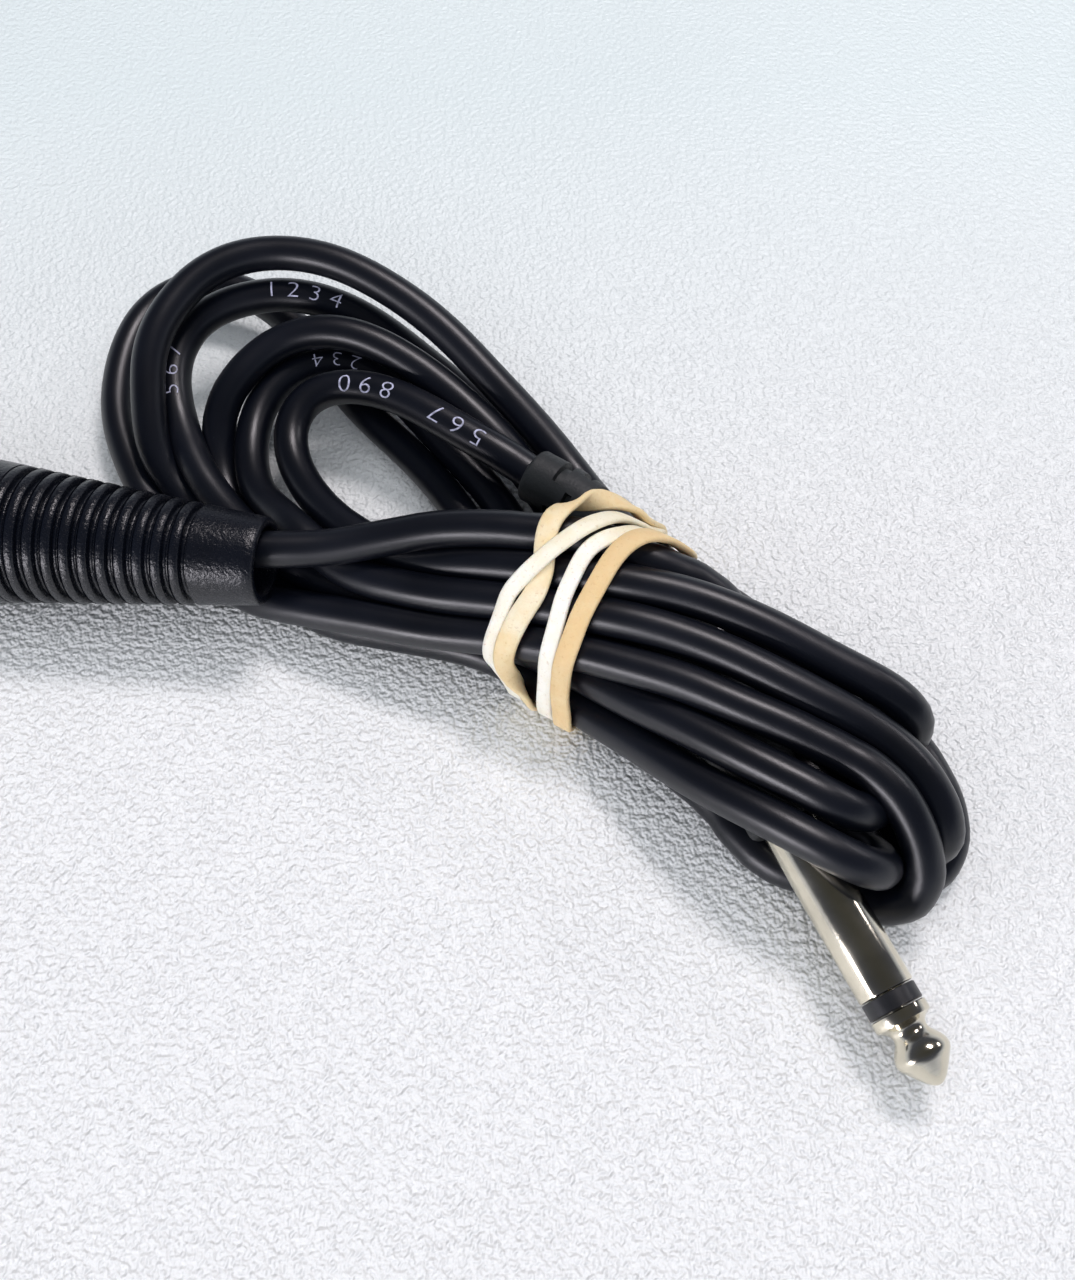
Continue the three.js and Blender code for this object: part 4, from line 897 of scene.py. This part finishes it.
def boot_profile():
    """The boot's section: a thin rim, a smooth collar, stepped grooves between rounded ribs, and its neck"""
    edge, lip, depth, hole = 0.35, 0.12, RIBS["depth"], BOOT["hole"]
    rows = [(hole, 17), (hole, 0.35), (hole + 0.1, 0.1), (hole + 0.32, 0)]
    rows += [(BOOT["exit"] - edge, 0), (BOOT["exit"] - 0.12, 0.1), (boot_radius(edge), edge)]
    rows += [(boot_radius(at), at) for at in (1.5, 3, 4.5, 6)]
    for i in range(RIBS["count"]):
        start = BOOT["collar"] + i * RIBS["pitch"]
        end, wall = start + RIBS["groove"], boot_radius(start)
        rows += [(wall, start - lip * 0.7), (wall - lip * 0.7, start), (wall - depth + lip, start + 0.05),
                 (wall - depth, start + 0.14), (wall - depth, start + 0.42),
                 (wall - depth + 0.06, start + 0.48), (wall - depth * 0.88, start + 0.52),
                 (wall - depth * 0.84, start + 0.58), (wall - depth * 0.84, end - 0.12),
                 (wall - depth * 0.88, end - 0.05)]
        middle, half = (end + start + RIBS["pitch"]) / 2, (RIBS["pitch"] - RIBS["groove"]) / 2
        for u in (-1, -0.93, -0.8, -0.5, 0, 0.5, 0.8, 0.9):
            rows.append((boot_radius(middle + u * half) - 0.22 * abs(u) ** 4, middle + u * half))
    last, length, front = BOOT["collar"] + RIBS["count"] * RIBS["pitch"], BOOT["length"], BOOT["front"]
    rows += [(boot_radius(last), last), (front, length - BOOT["land"]), (front, length - 0.5)]
    return rows + [(front - 0.3, length - 0.15)] + BOOT_NECK


class CABLE_OT_boot(bpy.types.Operator):
    """Moulds the ribbed boot behind the socket connector"""
    bl_idname = "cable.boot"
    bl_label = "Mould the Boot"

    def execute(self, context):
        mesh = turned("ribbed_boot", boot_profile(), SOCKET, 160)
        for vert in mesh.vertices:
            local = SOCKET.inverted() @ vert.co / MM
            radius = math.hypot(local.x, local.y)
            off = abs(math.atan2(local.y, local.x) % math.pi - SEAM["angle"])
            if SEAM["from"] < local.z < SEAM["to"] and radius > SEAM["inside"] and off < SEAM["half_angle"]:
                outward = SOCKET.to_3x3() @ Vector((local.x, local.y, 0)).normalized()
                vert.co += outward * SEAM["height"] * MM
        new_piece("ribbed_boot", mesh, boot_pvc(), ("xlr_boot",))
        return {"FINISHED"}


class CABLE_OT_shell(bpy.types.Operator):
    """Turns the socket connector's metal shell and cuts the latch's window"""
    bl_idname = "cable.shell"
    bl_label = "Turn the Shell"

    def execute(self, context):
        start, nose, end = BOOT["length"], 61, 77
        profile = [(7.5, start + 0.15), (9.1, start + 0.15), (9.35, start + 0.25), (9.5, start + 0.5),
                   (9.5, nose - 3.2), (9.36, nose - 3.1), (9.36, nose - 2.7), (9.5, nose - 2.6),
                   (9.5, nose - 0.75), (9.32, nose - 0.25), (8.9, nose), (7.95, nose), (7.95, end - 0.6),
                   (7.8, end - 0.15), (7.45, end), (6.65, end), (6.65, nose - 2), (7.5, nose - 3)]
        mesh = turned("turned_shell", profile, SOCKET)
        shell = new_piece("turned_shell", mesh, nickel(SOCKET), ("xlr_shell",))
        cut_away(shell, [block((-2.5, 4.4, start + 3.6), (2.5, 11.5, start + 20.2), SOCKET)])
        return {"FINISHED"}


# ---------- the plug ----------

# sections of the plug's turned pieces, as (radius, station) from its shoulder
SLEEVE = [(2.2, -6), (2.9, -6), (2.9, 0), (3.175, 0), (3.175, 20.0), (3.1, 20.2), (2.95, 20.25), (2.2, 20.25)]
RING = [(1.45, 20.4), (3.0, 20.4), (3.1, 20.5), (3.1, 22.15), (3.0, 22.25), (1.45, 22.25)]
TIP = [(0, 22.4), (3.0, 22.4), (3.175, 22.5), (3.175, 23.45), (3.1, 23.65), (2.8, 23.8), (2.4, 24.02),
       (2.1, 24.35), (1.97, 24.7), (1.98, 25.05), (2.15, 25.4), (2.45, 25.8), (2.78, 26.25), (3.0, 26.7),
       (3.1, 27.15), (3.1, 27.45), (2.95, 27.85), (2.6, 28.3), (1.9, 29.2), (1.2, 30.0), (0.7, 30.42),
       (0.35, 30.6), (0, 30.65)]
STEM = [(0, -9.55), (1.05, -9.55), (1.05, 22.6), (0, 22.6)]
HANDLE = [(3.2, -0.3), (3.7, -0.3), (4.05, -0.4), (4.35, -0.7), (4.5, -1.1), (4.5, -28.5), (4.4, -29.3),
          (4.0, -30), (3.3, -30), (3.3, -25), (2.55, -25), (2.55, -22), (3.3, -21), (3.3, -1.8), (3.2, -1.8)]


class CABLE_OT_plug(bpy.types.Operator):
    """Turns the plug's sleeve, ring and tip, and moulds its handle"""
    bl_idname = "cable.plug"
    bl_label = "Turn the Plug"

    def execute(self, context):
        metal, resin = nickel(PLUG), moulded_resin("ring_resin_moulded", "#1A1B1E", "#121315", 0.3)
        tip = turned("plug_tip", TIP, PLUG)
        work = bmesh.new()
        work.from_mesh(tip)
        work.from_mesh(turned("stem", STEM, PLUG, 32))
        work.to_mesh(tip)
        work.free()
        new_piece("plug_sleeve", turned("plug_sleeve", SLEEVE, PLUG), metal, ("jack_sleeve",))
        new_piece("plug_ring", turned("plug_ring", RING, PLUG), resin, ("jack_tip_ring",))
        new_piece("plug_tip", tip, metal, ("jack_tip",))
        handle = turned("plug_handle", HANDLE, PLUG)
        new_piece("plug_handle", handle, relief_pvc(), ("jack_handle",))
        return {"FINISHED"}


# Lengths in millimetres along the relief. Each slot is open for so many degrees to both sides of its
# facing, and every other slot faces another way.
RELIEF = {"radius": 3.5, "core": 2.7, "rim": 0.5, "slot": 1.15, "first": 4.4, "pitch": 2.5, "count": 7,
          "open": 58, "facings": (52, 0), "mouth": 2.75, "bore": 2.6}
RELIEF_STEP = 0.15


class CABLE_OT_relief(bpy.types.Operator):
    """Moulds the plug's bent strain relief with its staggered slots"""
    bl_idname = "cable.relief"
    bl_label = "Mould the Strain Relief"

    def execute(self, context):
        rows = smooth_course(np.array(relief_course()[2:6]), RELIEF_STEP)[::-1]
        _, across, up = carried_frames(rows)
        sides, count = 96, len(rows)

        def spot(row, turn, out):
            return on_desk(*(rows[row] + out * (math.cos(turn) * across[row] + math.sin(turn) * up[row])))

        def radius_at(run, turn):
            for cut in range(RELIEF["count"]):
                off = abs((turn - RELIEF["facings"][cut % 2] + 90) % 180 - 90)
                middle = RELIEF["first"] + cut * RELIEF["pitch"]
                if abs(run - middle) < RELIEF["slot"] / 2 and off < RELIEF["open"]:
                    return RELIEF["core"]
            rim = RELIEF["rim"]
            return RELIEF["radius"] - rim + math.sqrt(max(0.0, rim ** 2 - (rim - min(run, rim)) ** 2))

        turns = [360 * k / sides for k in range(sides)]
        points = [spot(i, math.radians(turn), radius_at(i * RELIEF_STEP, turn))
                  for i in range(count) for turn in turns]
        for first, hole in ((0, RELIEF["mouth"]), (6, RELIEF["bore"])):
            points += [spot(first, math.radians(turn), hole) for turn in turns]
        faces = ring_faces(count, sides)
        mouth, inner = count * sides, (count + 1) * sides
        for k in range(sides):
            n = (k + 1) % sides
            faces += [(mouth + k, mouth + n, n, k), (inner + k, inner + n, mouth + n, mouth + k)]
        faces.append(tuple(inner + k for k in range(sides - 1, -1, -1)))
        faces.append(tuple((count - 1) * sides + k for k in range(sides)))
        mesh = mesh_from("slotted_relief", points, faces)
        new_piece("slotted_relief", mesh, relief_pvc(), ("jack_strain_relief",))
        return {"FINISHED"}


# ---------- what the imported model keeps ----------

def dress_nodes():
    """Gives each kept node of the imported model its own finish"""
    # rolled spring steel, bare: grey with fine rolling lines
    steel = worked_metal("spring_steel_rolled", "#B9BABD", "#8E9094", 0.24, 0.4)
    # stamped brass: warm yellow that has browned a little where it was handled
    brass = worked_metal("brass_stamped", "#D8B26A", "#B08B47", 0.26, 0.4)
    # drawn copper, bare: red-brown, and darker where it has tarnished
    copper = worked_metal("copper_drawn", "#D08A5C", "#A9653C", 0.30, 0.3)
    # nylon filled with glass fibre, moulded: near black and slightly dull
    black = moulded_resin("insert_resin_glass_filled", "#1D1E20", "#141517", 0.36)
    # polyethylene, moulded: milky, waxy white
    white = moulded_resin("core_insulation_polyethylene", "#DEDAD0", "#CFCABD", 0.42)
    # red PVC, extruded on the signal core: even and satin
    red = moulded_resin("red_insulation_pvc", "#B5382F", "#8F2A24", 0.40)
    finishes = {
        steel: ["latch_lever", "latch_pivot_pin", "latch_spring", "insert_screw"],
        brass: ["xlr_socket_1", "xlr_socket_2", "xlr_socket_3", "xlr_ground_contact", "jack_ground_tag",
                "jack_tip_lug"],
        copper: ["xlr_shield_wire", "xlr_jumper_wire", "jack_shield_wire"],
        black: ["xlr_insulator"],
        white: ["jack_core_insulator", "jack_washer"],
        red: ["xlr_signal_wire", "jack_signal_wire"],
        relief_pvc(): ["cable_clamp"],
    }
    for material, names in finishes.items():
        for name in names:
            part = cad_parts[name]
            part.data.materials.clear()
            part.data.materials.append(material)
            edge = part.modifiers.new("soft_edges", "BEVEL")
            edge.width, edge.segments = 0.06 * MM, 2
            edge.limit_method, edge.angle_limit = "ANGLE", math.radians(50)


class CABLE_OT_inner_parts(bpy.types.Operator):
    """Finishes the latch, the contacts, the wires and the other kept parts"""
    bl_idname = "cable.inner_parts"
    bl_label = "Finish the Inner Parts"

    def execute(self, context):
        dress_nodes()
        return {"FINISHED"}


# ---------- the stage ----------

LAMP_AIM = (0.02, 0.0, 0.01)
# name, place, aim, size, watts, colour, and whether shiny surfaces mirror it
LAMPS = [
    ("ceiling_panel", (0.20, 0.34, 0.72), LAMP_AIM, (0.25, 0.15), 3.2, "#FAF2F6", True),
    ("window_front", (-0.40, -0.58, 0.13), LAMP_AIM, (0.34, 0.12), 2.75, "#F8F4FC", True),
    ("ceiling_bounce", (0.00, -0.25, 1.0), LAMP_AIM, (1.9, 1.9), 14.3, "#F4F6FF", False),
    ("doorway_right", (0.70, 0.335, 0.45), (0.07, -0.03, 0.01), (0.30, 0.08), 0.7, "#F8F4FA", True),
]
# the room's colour by height, from the level of the table to straight up
ROOM = [(0.0, "#DCE0EC"), (0.14, "#C0C5D2"), (0.34, "#494D5A"), (1.0, "#42423F")]
CAMERA = {"lens": 37.4, "place": (0.03347, -0.06608, 0.14796), "tilt": 29}
TABLE_HALF = 1.5


def table_laminate():
    """White laminate, pressed with an embossed plate. Its leather grain shows as small pale ridges,
    which are drawn flatter towards the back, where the tone is painted darker and bluer as painted shade."""
    material, tree, place = new_material("table_laminate_embossed")
    pebbles = node(tree, "ShaderNodeTexNoise", {"Vector": place, "Scale": grain(0.8), "Detail": 1},
                   noise_dimensions="2D")
    ridges = node(tree, "ShaderNodeMapRange", {"Value": pebbles, "From Min": 0.25, "From Max": 0.75})
    depth = node(tree, "ShaderNodeSeparateXYZ", {"Vector": place}, out="Y")
    # painted shade: from front to back the tone turns darker and bluer, and the grain's bumps fade
    grain_and_painted_light = node(tree, "ShaderNodeMapRange", {
        "Value": depth, "From Min": 0.03, "From Max": 0.12, "To Min": 1.0, "To Max": 0.45})
    tone = node(tree, "ShaderNodeValToRGB", {"Fac": grain_and_painted_light},
                stops=[(0.45, rgb("#D9E3E1")), (1.0, rgb("#E9EBE8"))])
    bumps = node(tree, "ShaderNodeBump", {"Height": ridges, "Distance": 0.34 * MM, "Strength": grain_and_painted_light})
    return finished(material, tone, 0.42, surface={"Normal": bumps})


def soft_lamp(name, place, aim, size, power, colour, mirrored):
    """A soft rectangular lamp, which shows in shiny surfaces if it is mirrored"""
    lamp = bpy.data.lights.new(name, "AREA")
    lamp.shape, lamp.size, lamp.size_y, lamp.energy = "RECTANGLE", size[0], size[1], power
    lamp.color = rgb(colour)[:3]
    thing = bpy.data.objects.new(name, lamp)
    thing.location, thing.visible_glossy = place, mirrored
    thing.rotation_euler = (Vector(aim) - Vector(place)).to_track_quat("-Z", "Y").to_euler()
    bpy.context.scene.collection.objects.link(thing)


class CABLE_OT_stage(bpy.types.Operator):
    """Sets the table, the lamps and the camera"""
    bl_idname = "cable.stage"
    bl_label = "Set the Stage"

    def execute(self, context):
        scene = context.scene
        corners = [(x * TABLE_HALF, y * TABLE_HALF, 0) for x, y in ((-1, -1), (1, -1), (1, 1), (-1, 1))]
        sheet = mesh_from("table_top", corners, [(0, 1, 2, 3)], smooth=False)
        floor = bpy.data.objects.new("table_top", sheet)
        scene.collection.objects.link(floor)
        floor.data.materials.append(table_laminate())
        scene.world = bpy.data.worlds.new("pale_room")
        scene.world.use_nodes = True
        tree = scene.world.node_tree
        way = node(tree, "ShaderNodeTexCoord", out="Generated")
        height = node(tree, "ShaderNodeSeparateXYZ", {"Vector": way}, out="Z")
        walls = node(tree, "ShaderNodeValToRGB", {"Fac": height},
                     stops=[(at, rgb(code)) for at, code in ROOM])
        tree.links.new(walls, tree.nodes["Background"].inputs["Color"])
        tree.nodes["Background"].inputs["Strength"].default_value = 1.0
        for name, place, aim, size, power, colour, mirrored in LAMPS:
            soft_lamp(name, place, aim, size, power * scene.cable_sizes.lamp_level, colour, mirrored)
        view = bpy.data.cameras.new("photo_camera")
        view.lens, view.sensor_width, view.sensor_fit, view.clip_start = CAMERA["lens"], 36.0, "AUTO", 0.005
        eye = bpy.data.objects.new("photo_camera", view)
        eye.location, eye.rotation_euler = CAMERA["place"], (math.radians(CAMERA["tilt"]), 0, 0)
        scene.collection.objects.link(eye)
        scene.camera = eye
        scene.view_settings.view_transform = "Standard"
        return {"FINISHED"}


# ---------- panel and registration ----------

STEPS = [CABLE_OT_cord, CABLE_OT_print_marks, CABLE_OT_band, CABLE_OT_boot, CABLE_OT_shell, CABLE_OT_plug,
         CABLE_OT_relief, CABLE_OT_inner_parts, CABLE_OT_stage]


class CABLE_PT_panel(bpy.types.Panel):
    """Sizes and steps of the cable"""
    bl_idname = "CABLE_PT_panel"
    bl_label = "Instrument Cable"
    bl_space_type = "VIEW_3D"
    bl_region_type = "UI"
    bl_category = "Cable"

    def draw(self, context):
        for field in CableSizes.__annotations__:
            self.layout.prop(context.scene.cable_sizes, field)
        for step in STEPS:
            self.layout.operator(step.bl_idname)


def register():
    for item in (CableSizes, *STEPS, CABLE_PT_panel):
        bpy.utils.register_class(item)
    bpy.types.Scene.cable_sizes = bpy.props.PointerProperty(type=CableSizes)


def unregister():
    del bpy.types.Scene.cable_sizes
    for item in (CABLE_PT_panel, *reversed(STEPS), CableSizes):
        bpy.utils.unregister_class(item)


def main():
    register()
    for step in STEPS:
        group, name = step.bl_idname.split(".")
        getattr(getattr(bpy.ops, group), name)()


if __name__ == "__main__":
    main()
